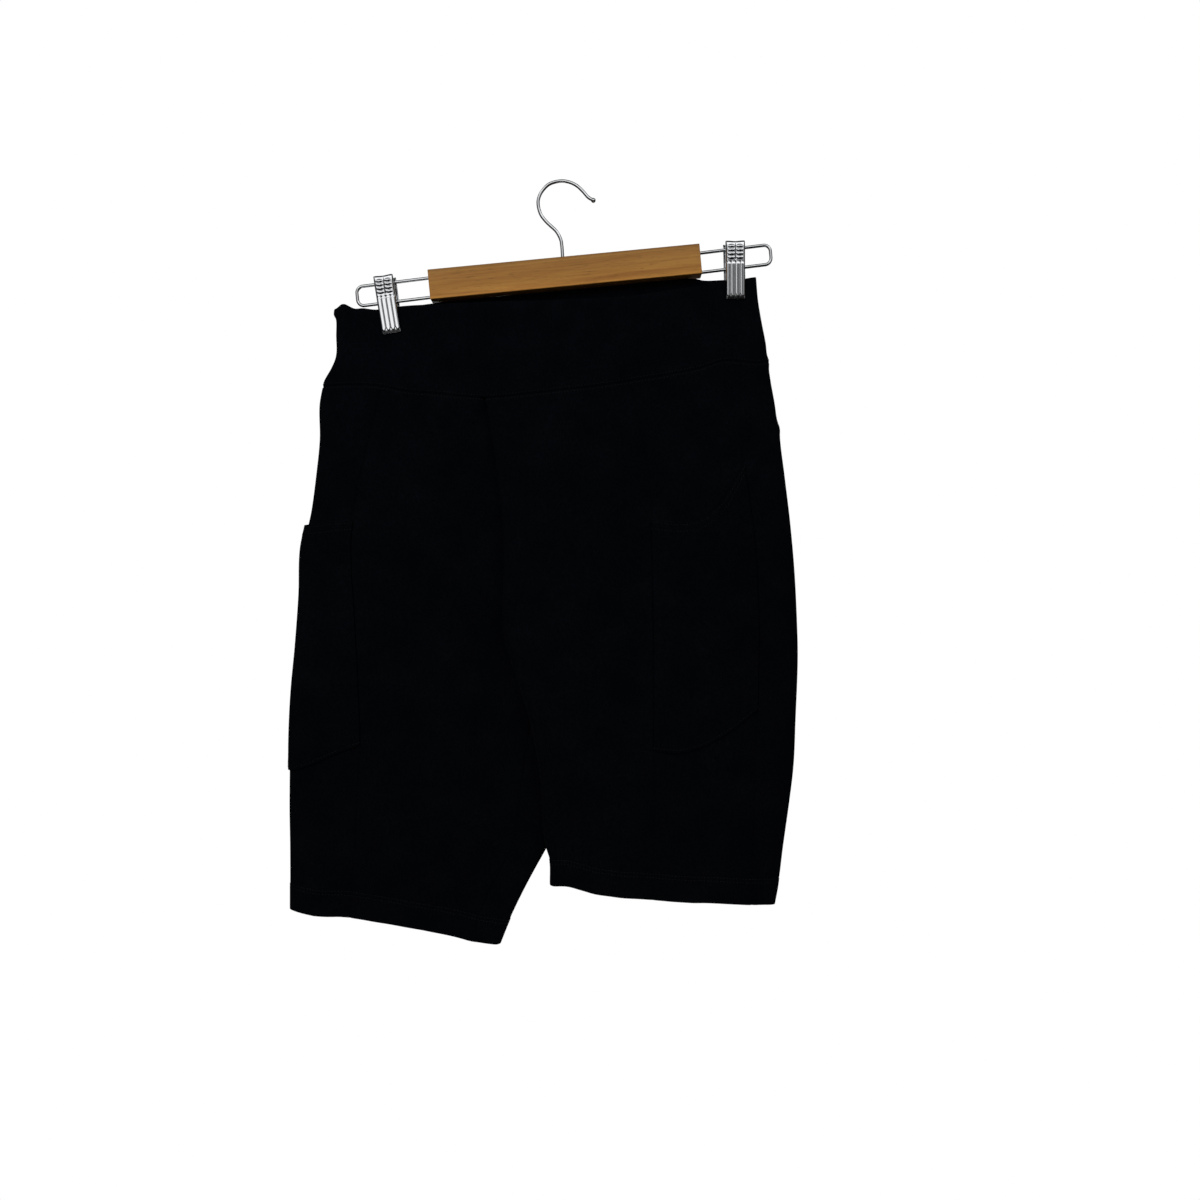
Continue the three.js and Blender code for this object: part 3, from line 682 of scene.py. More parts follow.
class Half:
    """One half of the shorts over many rows, in its own frame.

    x grows to the outer edge and the near wall is at -y. That is the world's frame on the right
    half, and the left half is turned by 180 degrees. Below the crotch row each leg is closed, and
    over the row above it the open section blends into the closed one.
    """

    def __init__(self, side: Side, rows: Array) -> None:
        """Reads the tables.

        Args:
            side: which half.
            rows: row places, as a column or a whole grid.
        """
        self.side, self.rows = side, rows
        self.near_face = Face.FRONT if side is Side.RIGHT else Face.BACK
        lap, self.layer, depth = (section_track(name)(rows) for name in ("lap", "layer", "depth"))
        self.out_z = section_track(f"{side.value}_out")(rows)
        self.in_z = section_track(f"{side.value}_in")(rows)
        self.edge = side.sign * EDGE[side](self.out_z)
        self.fold = side.sign * FOLD[side](self.in_z)
        other_fold = side.sign * FOLD[side.other](self.in_z)
        self.half = depth / 2
        self.hook_y = self.layer - self.half
        self.near_seam = self.fold + lap
        self.closing = smoothstep(CROTCH_ROW - 1, CROTCH_ROW, rows)
        self.far_seam = mix(other_fold - lap, self.near_seam, self.closing)
        self.far_seam_y = mix(-self.hook_y - LAYER_PITCH, self.hook_y, self.closing)
        sewn = 1 - smoothstep(0.0, SEWN_ROWS, rows)
        self.slope_start = np.maximum(other_fold, self.far_seam) + LAP_MARGIN * (1 - sewn)
        self.slope_reach = mix(LAP_REACH, SEWN_REACH, sewn)

    def seam(self, table: dict[Side, Track]) -> Array:
        """Where a seam's table puts it, in this half's frame."""
        return self.side.sign * table[self.side]((self.out_z + self.in_z) / 2)

    def open(self, x: Array) -> Array:
        """Half the depth of the hollow at a place across."""
        inside = np.maximum(self.edge - x, 0.0)
        return self.half * np.sqrt(1 - np.exp(-inside / EDGE_SOFTNESS))

    def height(self, x: Array, near: bool, behind: bool | Array = False) -> Array:
        """Height of a point of the section.

        Args:
            x: place across, in this half's frame.
            near: whether it is on the near wall.
            behind: where it lies behind the fold, at the fold's own height.

        Returns:
            The height in the world.
        """
        seam = self.fold if near else self.far_seam
        across = np.where(behind, 0.0, np.clip((x - seam) / (self.edge - seam), 0, 1))
        ends = [getattr(SECTIONS[0], f"{self.side.value}_{end}") for end in ("in", "out")]
        curve = YOKE[self.near_face if near else self.near_face.other](self.side.sign * x)
        fade = np.clip(1 - self.rows / YOKE_ROWS, 0, 1)
        straight = mix(self.in_z, self.out_z, across)
        low = smoothstep(HEM_BOW_ROW, LAST_ROW, self.rows)
        bow = HEM_BOW[self.side](self.side.sign * x) * low
        return straight + bow + (curve - mix(ends[0], ends[1], across)) * fade

    def world(self, x: Array, y: Array, z: Array) -> Array:
        """Stacks points of this half's frame as world points."""
        x, y, z = np.broadcast_arrays(x, y, z)
        return np.stack([self.side.sign * x, self.side.sign * y, z], axis=-1)

    def near(self, x: Array) -> Array:
        """Points of the near wall."""
        return self.world(x, -self.open(x), self.height(x, True))

    def far(self, x: Array) -> Array:
        """Points of the far wall, which slopes in under the other half."""
        slope = smoothstep(0.0, 1.0, (x - self.slope_start) / self.slope_reach)
        return self.world(x, mix(self.far_seam_y, self.open(x), slope), self.height(x, False))

    def far_start(self) -> Array:
        """Where the far wall's plain part ends, just before its last turn."""
        return self.far_seam + FLAT_END * self.closing

    def near_start(self) -> Array:
        """Where the near wall starts, just past the round of the fold."""
        return self.fold + np.minimum(self.layer / 2, FOLD_ROUND)

    def lift(self, turned: Array) -> Array:
        """How far a rolled seam's edge still is from its own layer, which a closed leg lacks."""
        return (LAYER_PITCH / 2 - GAP) * (1 - turned) * (1 - self.closing)

    def hook(self, fine: int) -> Array:
        """From the centre seam or inseam, over the layer behind the fold and round the fold.

        Args:
            fine: steps round the fold.

        Returns:
            A grid of points, ending on the near wall.
        """
        angle = np.linspace(0, QUARTER, TURN_STEPS)
        rolled_x = self.near_seam + LAYER_PITCH / 2 * np.cos(angle)
        x = mix(rolled_x, self.near_seam - GAP - angle, self.closing)
        rolled_y = self.hook_y + self.lift(np.sin(angle))
        start = self.world(x, rolled_y, self.height(x, True, True))
        across = np.minimum(self.layer / 2, FOLD_ROUND)
        x = mix(x[:, -1:], self.fold + across, np.linspace(0, 1, fine)[1:-1])
        straight = self.world(x, self.hook_y, self.height(x, True, True))
        angle = np.linspace(0, HALF_TURN, fine)
        x = self.fold + across * (1 - np.sin(angle))
        y = self.hook_y - self.layer / 2 * (1 - np.cos(angle))
        bend = self.world(x, y, self.height(x, True, np.broadcast_to(angle < QUARTER, x.shape)))
        return joined(start, straight, bend)

    def far_end(self) -> Array:
        """The far wall's last turn into the centre seam, which is flat on a closed leg.

        Returns:
            A grid of points, ending at the seam.
        """
        angle = np.linspace(0, QUARTER, TURN_STEPS)[1:]
        flat_x = self.far_seam + GAP + np.linspace(TURN_END, 0.0, TURN_STEPS - 1)
        x = mix(self.far_seam - LAYER_PITCH / 2 * np.sin(angle), flat_x, self.closing)
        return self.world(x, self.far_seam_y + self.lift(np.cos(angle)), self.height(x, False))


# ------------------------------------------------------------------ clips' places and the pinch


@dataclass(frozen=True)
class Place:
    """A tilted frame of the XZ plane: its origin, and its clockwise turn in degrees."""

    x: float
    z: float
    lean: float

    def frame(self) -> Matrix:
        """The frame in the world, in millimetres."""
        turned = Matrix.Rotation(math.radians(-self.lean), 4, "Y")
        return Matrix.Translation((self.x, 0, self.z)) @ turned


# Each clip hangs at the middle of its top edge.
CLIPS = {Side.LEFT: Place(-154.8, -81.6, 8.3), Side.RIGHT: Place(148.3, -51.9, 0.9)}
PINCH_FLAT, PINCH_EASE = 12.0, 36.0     # beside a clip's middle
PINCH_REACH, PINCH_FADE = 52.0, 48.0    # below a clip's top


def pinch_at(x: Array, z: Array) -> Array:
    """How far the clips press the band shut at each place.

    Args:
        x: places across.
        z: heights.

    Returns:
        Shares, from 0 where it hangs free to 1 in a clip's jaws.
    """
    pinch = np.zeros(np.broadcast(x, z).shape)
    for clip in CLIPS.values():
        centre = clip.x + math.tan(math.radians(clip.lean)) * (clip.z - z)
        beside = 1 - smoothstep(PINCH_FLAT, PINCH_FLAT + PINCH_EASE, np.abs(x - centre))
        below = 1 - smoothstep(0.0, PINCH_FADE, clip.z - z - PINCH_REACH)
        pinch = np.maximum(pinch, beside * below)
    return pinch


# ------------------------------------------------------------------ folds


@dataclass(frozen=True)
class Crease:
    """One soft ridge or trough along a short path on a face.

    The path's points are (x, z). The crease is full at its peak share of the path and dies away
    to both ends. depth is outwards, so a trough's is below zero.
    """

    path: tuple[Pair, ...]
    width: float
    depth: float
    peak: float

    def lift(self, x: Array, z: Array) -> Array:
        """How far out the crease moves the cloth.

        Args:
            x: places across.
            z: heights.

        Returns:
            The lift at each place.
        """
        path = np.array(self.path, float)
        lengths = np.hypot(*np.diff(path, axis=0).T)
        nearest = np.full(x.shape, np.inf)
        share, run = np.zeros(x.shape), 0.0
        for (x0, z0), (x1, z1), length in zip(path, path[1:], lengths):
            along = np.clip(((x - x0) * (x1 - x0) + (z - z0) * (z1 - z0)) / length ** 2, 0, 1)
            distance = np.hypot(x - mix(x0, x1, along), z - mix(z0, z1, along))
            share = np.where(distance < nearest, (run + along * length) / lengths.sum(), share)
            nearest = np.minimum(distance, nearest)
            run += length
        full = np.clip(np.minimum(share / self.peak, (1 - share) / (1 - self.peak)), 0, 1)
        return self.depth * hump(nearest, self.width) * np.sin(full * QUARTER)


# Each row is a crease's width, depth and peak, and then its path.
FRONT_CREASES = (
    # Pulls below the two clips.
    (7.0, 0.9, 0.15, (-150, -128), (-146, -160), (-134, -205), (-118, -250)),
    (6.0, 0.8, 0.2, (-158, -132), (-163, -165), (-176, -215), (-184, -262)),
    (9.0, -0.9, 0.2, (-140, -126), (-118, -152), (-88, -182), (-58, -206)),
    (8.0, 0.6, 0.1, (-132, -120), (-100, -136), (-60, -150)),
    (8.0, 0.9, 0.15, (143, -100), (134, -138), (118, -182), (96, -232)),
    (9.0, -0.8, 0.15, (134, -98), (104, -124), (66, -146), (30, -160)),
    (6.0, 0.7, 0.2, (152, -104), (160, -146), (168, -190)),
    # The upright crease beside the right side seam, and the step of the yoke above it.
    (2.6, -1.0, 0.45, (130, -140), (128.5, -162), (128.2, -206), (127, -228)),
    (3.2, 0.7, 0.5, (134, -150), (133, -178), (132.6, -214)),
    # Drag from the right pocket mouth's corner to the side edge.
    (3.2, 1.5, 0.55, (146, -272), (155.7, -264), (164, -243), (184, -219), (190, -212)),
    (4.0, -1.1, 0.5, (150, -282), (160, -272), (170, -252), (188, -232)),
    # The left front valley and the two short streaks beside it.
    (6.5, -1.5, 0.3, (-154, -176), (-166, -220), (-177, -272), (-181, -330), (-176, -420)),
    (2.6, 0.9, 0.5, (-186, -186), (-190, -194), (-200, -212), (-204, -226)),
    (2.8, 0.8, 0.5, (-174, -190), (-178, -200), (-185, -227), (-189, -244)),
    (3.0, 0.8, 0.5, (-205, -240), (-209, -262), (-213, -280)),
    # The mark of the left pocket's bag.
    (4.5, 0.9, 0.5, (-193, -290), (-184, -330), (-171, -366), (-163, -400), (-164, -440)),
    (3.6, 0.7, 0.4, (-164, -440), (-172, -462), (-188, -480)),
    # Down the lap of the left leg, beside the other leg's fold.
    (9.0, -1.4, 0.4, (-58, -330), (-74, -398), (-94, -446), (-104, -500)),
    (7.0, 1.0, 0.3, (-42, -392), (-66, -432), (-84, -486), (-92, -550)),
    (12.0, 0.9, 0.5, (-120, -400), (-136, -470), (-140, -560)),
    # The crotch's short pulls on the right leg.
    (7.0, 0.8, 0.15, (-46, -384), (-18, -402), (16, -428), (44, -470)),
    (8.0, -0.9, 0.2, (-44, -400), (-22, -430), (2, -478), (14, -540)),
    (8.0, 0.5, 0.2, (-50, -360), (-20, -352), (20, -352)),
    # Hems: a turned inner corner on the left leg, and slow waves.
    (5.0, 0.9, 0.5, (-52, -570), (-50, -590), (-49, -612)),
    (3.6, 1.0, 0.5, (-84, -610), (-70, -628), (-57, -645)),
    (9.0, 0.8, 0.8, (-200, -540), (-197, -586), (-199, -628)),
    (10.0, -0.8, 0.9, (-150, -560), (-146, -600), (-147, -642)),
    (10.0, 0.8, 0.9, (30, -520), (28, -570), (31, -616)),
    (12.0, -0.8, 0.9, (110, -530), (113, -580), (112, -620)),
    (8.0, 0.8, 0.8, (150, -500), (156, -560), (158, -622)),
    # Slack between the centre seam and the right front.
    (12.0, 0.7, 0.4, (-30, -200), (-14, -262), (6, -318)),
    (13.0, -0.7, 0.5, (20, -190), (38, -250), (48, -330), (46, -400)),
    (12.0, 0.8, 0.5, (-100, -215), (-104, -290), (-112, -360)),
)
BACK_CREASES = (
    (8.0, 1.0, 0.15, (-150, -128), (-140, -170), (-120, -224), (-98, -280)),
    (6.0, 0.8, 0.2, (-160, -134), (-168, -176), (-176, -224)),
    (9.0, -0.9, 0.2, (-138, -122), (-100, -150), (-56, -172), (-10, -186)),
    (8.0, 1.0, 0.15, (142, -100), (128, -146), (106, -196), (78, -246)),
    (9.0, -0.8, 0.15, (132, -98), (96, -120), (54, -140), (20, -160)),
    (6.0, 0.8, 0.2, (154, -106), (158, -150), (166, -200), (168, -244)),
    # The seat's slack, and the pulls from the crotch.
    (13.0, -1.2, 0.5, (60, -250), (20, -300), (-30, -322), (-80, -316)),
    (10.0, 0.9, 0.5, (70, -300), (30, -346), (-20, -362)),
    (11.0, 0.9, 0.5, (-60, -282), (-104, -300), (-142, -296)),
    (8.0, 1.0, 0.15, (20, -380), (-6, -412), (-20, -470), (-24, -540)),
    (7.0, 0.8, 0.2, (24, -392), (50, -424), (64, -480)),
    (8.0, -0.8, 0.25, (30, -372), (72, -384), (112, -378)),
    (10.0, -0.9, 0.25, (18, -400), (-30, -430), (-70, -486), (-84, -560)),
    # The pulls beside the side seams.
    (5.0, 1.0, 0.4, (148, -258), (160, -300), (170, -352)),
    (5.0, 0.9, 0.4, (-196, -262), (-186, -312), (-190, -372)),
    (6.0, 0.8, 0.5, (186, -330), (180, -400), (184, -470)),
    (7.0, 0.8, 0.5, (-214, -420), (-206, -486), (-212, -560)),
    # Slow waves towards the hems.
    (13.0, 0.9, 0.8, (120, -440), (128, -520), (124, -622)),
    (11.0, -0.8, 0.9, (60, -520), (58, -570), (62, -614)),
    (8.0, 0.7, 0.9, (8, -500), (4, -556), (10, -606)),
    (12.0, 0.9, 0.8, (-110, -500), (-118, -566), (-114, -640)),
    (10.0, -0.8, 0.9, (-164, -520), (-168, -580), (-166, -638)),
    (9.0, 0.7, 0.8, (-40, -560), (-38, -604), (-44, -648)),
)
CREASES = {face: [Crease(row[3:], *row[:3]) for row in rows]
           for face, rows in zip(Face, (FRONT_CREASES, BACK_CREASES))}
SWELLS = (130.0, 96.0, 74.0, 58.0, 41.0, 30.0, 22.0, 16.0)     # lengths of the waves
SWELL_TURN, SWELL_SCALE = 0.75, 150.0
LAYERS_REACH = 11.0     # depth on each side of the middle over which one face's folds fade out


def swell(x: Array, z: Array, seed: int) -> Array:
    """Low swells that keep hung cloth from being dead flat, always the same for one seed.

    Args:
        x: places across.
        z: heights.
        seed: picks each wave's direction and start.

    Returns:
        How far the cloth stands out at each place.
    """
    chance = np.random.default_rng(seed)
    total = np.zeros(np.broadcast(x, z).shape)
    for length in SWELLS:
        turn, start = chance.uniform(-SWELL_TURN, SWELL_TURN), chance.uniform(0, TURN)
        along = x * math.cos(turn) + z * math.sin(turn)
        total += length ** 0.8 / SWELL_SCALE * np.sin(TURN * along / length + start)
    return total


def drape(points: Array) -> Array:
    """Moves cloth in or out by the folds of the face that it is on.

    The share of each face changes slowly through the depth, so layers that lie on each other in a
    fold move together and stay clear of each other.

    Args:
        points: world points, in any grid.

    Returns:
        The moved points.
    """
    x, y, z = np.moveaxis(points, -1, 0)
    lifts = [sum(crease.lift(x, z) for crease in CREASES[face]) + swell(x, z, SEED + i)
             for i, face in enumerate(Face)]
    to_back = smoothstep(-LAYERS_REACH, LAYERS_REACH, y)
    moved = points.copy()
    moved[..., 1] += (lifts[1] * to_back - lifts[0] * (1 - to_back)) * (1 - pinch_at(x, z))
    return moved


# ------------------------------------------------------------------ cloth shells


class Border(Enum):
    """How one side of a piece of cloth is finished."""

    SEAM = "sewn to the next piece"
    FREE = "turned in at the waist"
    HEM = "turned up and sewn with two rows"
    MOUTH = "turned in and sewn along a pocket's mouth"
    CAUGHT = "laid on another piece and caught in its seam"


@dataclass(frozen=True)
class TurnIn:
    """A border turned in and sewn with two rows, and the relief that this makes."""

    depth: float
    rows: Pair
    rise: float         # of the doubled cloth
    ease: float         # how far before its depth the doubling starts to fade
    dent: Pair          # depth and width of the dent at each row
    pucker: Pair        # height and width of the puckers at the turned edge

    def relief(self, distance: Array, wave: Array) -> Array:
        """The relief that the turned border makes.

        Args:
            distance: how far each point is from the border.
            wave: a wave of puckers along it, from -1 to 1.

        Returns:
            The relief, outwards.
        """
        doubled = self.rise * (1 - smoothstep(self.depth - self.ease, self.depth + 0.9, distance))
        dents = sum(self.dent[0] * hump(distance - row, self.dent[1]) for row in self.rows)
        return doubled - dents + self.pucker[0] * wave * hump(distance - self.depth, self.pucker[1])


HEM = TurnIn(21.6, (18.7, 21.6), 0.35, 0.2, (0.16, 0.8), (0.12, 6.0))
MOUTH = TurnIn(8.6, (2.0, 7.8), 0.3, 0.0, (0.14, 0.7), (0.16, 5.0))
PUCKER_PITCH, SLACK_PITCH = 6.2, 7.4
# Ridges and dents along other borders: height, distance in from the border, and width.
ALLOWANCE, GROOVE, SEAM_PUCKER = (0.22, 3.6, 2.4), (0.55, 0.0, 1.0), (0.14, 0.0, 4.5)
BAG_SLACK, BAG_DENT = (0.32, 4.5, 4.0), (0.12, 2.4, 0.8)


def ridge(distance: Array, form: tuple[float, float, float], wave: Array = 1.0) -> Array:
    """A ridge of a form along a border, whose height may change in a wave along it."""
    height, place, width = form
    return height * wave * hump(distance - place, width)


def border_relief(border: Border, distance: Array, along: Array) -> Array:
    """Small relief beside a border: the seam's groove, its allowance, hems and puckers.

    Args:
        border: how the side is finished.
        distance: how far each point is from it.
        along: how far along it each point is.

    Returns:
        The relief, outwards.
    """
    wander = np.sin(along / 4.7 + 1.7) + np.sin(along / 11.3)
    wave = np.sin(along * TURN / PUCKER_PITCH + 1.4 * wander)
    if border is Border.SEAM:
        rolled = ridge(distance, ALLOWANCE) - ridge(distance, GROOVE)
        return rolled + ridge(distance, SEAM_PUCKER, wave)
    if border is Border.HEM:
        return HEM.relief(distance, wave)
    if border is Border.MOUTH:
        return MOUTH.relief(distance, wave)
    if border is Border.CAUGHT:
        slack = 1 + np.sin(along * TURN / SLACK_PITCH + 1.5 * wander)
        return ridge(distance, BAG_SLACK, slack) - ridge(distance, BAG_DENT)
    return np.zeros(distance.shape)


def grid_steps(grid: Array, axis: int) -> Array:
    """Length run along one axis of a grid, from 0 at its first row or column.

    Args:
        grid: rows and columns of points.
        axis: 0 to run down each column, or 1 to run along each row.

    Returns:
        The length at each point.
    """
    steps = np.linalg.norm(np.diff(grid, axis=axis), axis=2)
    start = np.zeros_like(np.take(steps, [0], axis=axis))
    return np.concatenate([start, np.cumsum(steps, axis=axis)], axis=axis)


def grid_normals(grid: Array) -> Array:
    """Unit normals of a grid whose rows go down and columns go right, seen from outside."""
    normal = np.cross(np.gradient(grid, axis=0), np.gradient(grid, axis=1))
    return normal / np.maximum(np.linalg.norm(normal, axis=2, keepdims=True), 1e-9)


def joined(*grids: Array) -> Array:
    """Grids side by side."""
    return np.concatenate(grids, axis=1)


@dataclass
class Shell:
    """A closed wall of even thickness round a grid, which is its middle surface."""

    name: str
    grid: Array
    wall: float
    rounding: tuple[float, float, float, float] = (1.0, 1.0, 1.0, 1.0)  # top, right, bottom, left

    def surface(self, side: float) -> Array:
        """The outer (1) or inner (-1) surface."""
        return self.grid + grid_normals(self.grid) * (side * self.wall / 2)

    def rim(self) -> tuple[Array, Array, Array]:
        """The loop round the grid.

        Returns:
            The loop's row numbers, its column numbers, and the direction out of the sheet there,
            as long as that side's rounding.
        """
        rows, columns = self.grid.shape[:2]
        down, right = (np.gradient(self.grid, axis=axis) for axis in (0, 1))
        down /= np.linalg.norm(down, axis=2, keepdims=True)
        right /= np.linalg.norm(right, axis=2, keepdims=True)
        sides = (
            (np.zeros(columns, int), np.arange(columns), -down),
            (np.arange(1, rows), np.full(rows - 1, columns - 1), right),
            (np.full(columns - 1, rows - 1), np.arange(columns - 2, -1, -1), down),
            (np.arange(rows - 2, 0, -1), np.zeros(rows - 2, int), -right),
        )
        r, c = (np.concatenate([side[i] for side in sides]) for i in (0, 1))
        out = [way[i, j] * share for (i, j, way), share in zip(sides, self.rounding)]
        return r, c, np.concatenate(out)

    def build(self) -> Object:
        """Builds the closed mesh, with a UV map in run lengths.

        Returns:
            The new object.
        """
        rows, columns = self.grid.shape[:2]
        r, c, out = self.rim()
        half, middle, lean = self.wall / 2, self.grid[r, c], grid_normals(self.grid)[r, c]
        turns = [middle + (lean * math.cos(a) + out * math.sin(a)) * half
                 for a in (math.pi / 4, math.pi / 2, 3 * math.pi / 4)]
        points = [self.surface(1).reshape(-1, 3), self.surface(-1).reshape(-1, 3), *turns]
        number = np.arange(rows * columns).reshape(rows, columns)
        quads = np.stack([number[:-1, :-1], number[1:, :-1], number[1:, 1:], number[:-1, 1:]], -1)
        quads = quads.reshape(-1, 4)
        inner = rows * columns
        rings = [number[r, c]] + [2 * inner + i * len(r) + np.arange(len(r)) for i in range(3)]
        rings.append(number[r, c] + inner)
        faces = [quads, quads[:, ::-1] + inner]
        for upper, lower in zip(rings, rings[1:]):
            faces.append(np.stack((upper, np.roll(upper, -1), np.roll(lower, -1), lower), -1))
        made = mesh_object(self.name, np.concatenate(points), np.concatenate(faces).tolist())
        lengths = np.stack([grid_steps(self.grid, 1), grid_steps(self.grid, 0)], -1) / UV_UNIT
        flat, edge = lengths.reshape(-1, 2), lengths[r, c]
        uv = np.concatenate([flat, flat, edge, edge, edge])
        corners = np.empty(len(made.data.loops), np.int32)
        made.data.loops.foreach_get("vertex_index", corners)
        layer = made.data.uv_layers.new(name=CLOTH_UV)
        layer.data.foreach_set("uv", uv[corners].ravel().astype(np.float32))
        return made


@dataclass
class ClothPiece:
    """One cut piece of the garment.

    The grid is its middle surface before the small relief. Its borders run from the top
    clockwise, seen from outside.
    """

    node: str
    grid: Array
    wall: float
    borders: tuple[Border, Border, Border, Border]

    def __post_init__(self) -> None:
        """Measures the flat cut in metres, and lays the small relief on the grid."""
        along, down = grid_steps(self.grid, 1), grid_steps(self.grid, 0)
        self.flat = (float(along[:, -1].max()) * MM, float(down[-1].max()) * MM)
        sides = np.cross(np.diff(self.grid, axis=0)[:, :-1], np.diff(self.grid, axis=1)[:-1])
        self.area = float(np.linalg.norm(sides, axis=2).sum()) * MM * MM
        x, _, z = np.moveaxis(self.grid, -1, 0)
        self.distances = (down, along[:, -1:] - along, down[-1:] - down, along)
        small = sum(border_relief(border, distance, z if i % 2 else x)
                    for i, (border, distance) in enumerate(zip(self.borders, self.distances)))
        small = small * (1 - pinch_at(x, z))
        self.grid = self.grid + grid_normals(self.grid) * small[..., None]

    def shell(self) -> Shell:
        """The piece's closed wall. Free borders are rounded and sewn ones are nearly square."""
        rounding = tuple(0.04 if border is Border.SEAM else 1.0 for border in self.borders)
        return Shell(f"cloth_{self.node}", self.grid, self.wall, rounding)

    def line(self, side: int, distance: float, lift: float) -> Array:
        """A line along one border.

        Args:
            side: 0 top, 1 right, 2 bottom, 3 left.
            distance: how far it is from the border.
            lift: how far it is above the outer surface.

        Returns:
            The line's points.
        """
        surface = self.shell().surface(1) + grid_normals(self.grid) * lift
        away = self.distances[side]
        if side % 2:
            surface, away = surface.transpose(1, 0, 2), away.T
        order = 1 if side in (0, 3) else -1
        surface, away = surface[::order], away[::order]
        return np.array([[np.interp(distance, away[:, lane], surface[:, lane, i]) for i in range(3)]
                         for lane in range(surface.shape[1])])


def spread(length: float, pitch: float, first: bool = True, last: bool = True) -> Array:
    """Shares from 0 to 1 at an even pitch, with more beside the ends that have a seam.

    Args:
        length: usual length of the span.
        pitch: distance between two shares.
        first: whether the start has a seam.
        last: whether the end has one.

    Returns:
        The shares.
    """
    shares = np.linspace(0, 1, round(length / pitch) + 1)
    beside = np.array([0.4, 0.9, 1.6]) / length
    added = [beside if first else [], 1 - beside if last else []]
    shares = np.unique(np.concatenate([shares, *added]))
    return shares[np.concatenate([[True], np.diff(shares) > 0.25 / length])]


# ------------------------------------------------------------------ the garment's pieces

ROW_STEPS = 10
SEAM_ROWS, TIP_ROWS = [0.014, 0.04, 0.085, 0.15], [15.86, 15.93, 15.975]
HEM_FOLD_ROWS = np.linspace(14.35, 15.15, 33)       # where the hems' doubled cloth ends
ROWS = np.unique(np.round(np.concatenate([
    np.linspace(0, LAST_ROW, LAST_ROW * ROW_STEPS + 1), SEAM_ROWS, HEM_FOLD_ROWS, TIP_ROWS,
]), 5))[:, None]
NOSE = np.linspace(1, 0, 26) ** 2       # shares towards a side edge, crowded at it
SEWN_NOSE = np.unique(np.concatenate([NOSE, [0.99, 0.977, 0.96]]))[::-1]
HOOK_STEPS = 13
PITCH, BAND_PITCH, FINE_PITCH = 2.5, 2.4, 2.2
BAG_SIZE, BAND_SIZE = (95, 190), (320, 80)
NOSE_REACH = 34.0       # how far the right back panel's round edge runs in


def body_pieces() -> list[ClothPiece]:
    """The six panels of the body and legs. spread() is given each span's usual width.

    Returns:
        Front, side and back of each half.
    """
    right, left = Half(Side.RIGHT, ROWS), Half(Side.LEFT, ROWS)
    princess, rear = right.seam(PRINCESS), right.seam(REAR)
    left_princess, left_rear = left.seam(PRINCESS), left.seam(REAR)
    nose_end = right.edge - NOSE_REACH
    grids = {
        "front_panel_right": joined(
            right.hook(HOOK_STEPS),
            right.near(mix(right.near_start(), princess - GAP, spread(125, PITCH, False)))[:, 1:],
        ),
        "side_panel_right": right.near(mix(princess + GAP, rear - GAP, spread(86, PITCH))),
        "back_panel_right": joined(
            right.near(mix(right.edge, rear + GAP, SEWN_NOSE)),
            right.far(mix(right.edge, nose_end, NOSE[::-1]))[:, 1:],
            right.far(mix(nose_end, right.far_start(), spread(165, PITCH, False)))[:, 1:],
            right.far_end(),
        ),
        "back_panel_left": joined(
            left.hook(HOOK_STEPS),
            left.near(mix(left.near_start(), left_rear - GAP, spread(200, PITCH, False)))[:, 1:],
        ),
        "side_panel_left": joined(
            left.near(mix(left.edge, left_rear + GAP, SEWN_NOSE)),
            left.far(mix(left.edge, left_princess + GAP, SEWN_NOSE[::-1]))[:, 1:],
        ),
        "front_panel_left": joined(
            left.far(mix(left_princess - GAP, left.far_start(), spread(185, PITCH, True, False))),
            left.far_end(),
        ),
    }
    borders = (Border.SEAM, Border.SEAM, Border.HEM, Border.SEAM)
    return [ClothPiece(node, drape(grid), PANEL_WALL, borders) for node, grid in grids.items()]


@dataclass(frozen=True)
class PocketBag:
    """A patch pocket laid on a side panel, open along its slanting mouth.

    The mouth and the bottom are rows of the side panel, from its front seam to its rear seam.
    """

    side: Side
    mouth: tuple[float, ...]
    bottom: tuple[float, ...]
    slack: float = 1.6
    clear: Pair = (0.35, 0.2)       # over the panel at the seams, and how much more in the middle

    def grid(self) -> Array:
        """The bag's middle surface, a little clear of the panel under it.

        Returns:
            Rows and columns of points.
        """
        share, down = (spread(size, FINE_PITCH) for size in BAG_SIZE)
        share, down = share[None, :], down[:, None]
        if self.side is Side.LEFT:
            share = 1 - share
        mouth, bottom = (Track(*zip(np.linspace(0, 1, len(rows)), rows))(share)
                         for rows in (self.mouth, self.bottom))
        half = Half(self.side, mix(mouth, bottom, down))
        princess, rear = half.seam(PRINCESS), half.seam(REAR)
        if self.side is Side.RIGHT:
            base = half.near(mix(princess + GAP, rear - GAP, share))
        else:
            nose = np.abs(2 * share - 1) ** 2
            back = half.near(mix(half.edge, rear + GAP, nose))
            front = half.far(mix(half.edge, princess + GAP, nose))
            base = np.where(np.broadcast_to(share > 0.5, nose.shape)[..., None], back, front)
        base = drape(base)
        middle = np.sin(HALF_TURN * np.clip(share, 0, 1))
        bulge = self.slack * middle * np.cos(QUARTER * down) ** 0.7
        clear = self.clear[0] + self.clear[1] * middle
        out = PANEL_WALL / 2 + clear + BAG_WALL / 2 + bulge
        return base + grid_normals(base) * out[..., None]

    def piece(self) -> ClothPiece:
        """The bag as a cut piece."""
        borders = (Border.MOUTH, Border.CAUGHT, Border.CAUGHT, Border.CAUGHT)
        return ClothPiece(f"pocket_{self.side.value}", self.grid(), BAG_WALL, borders)


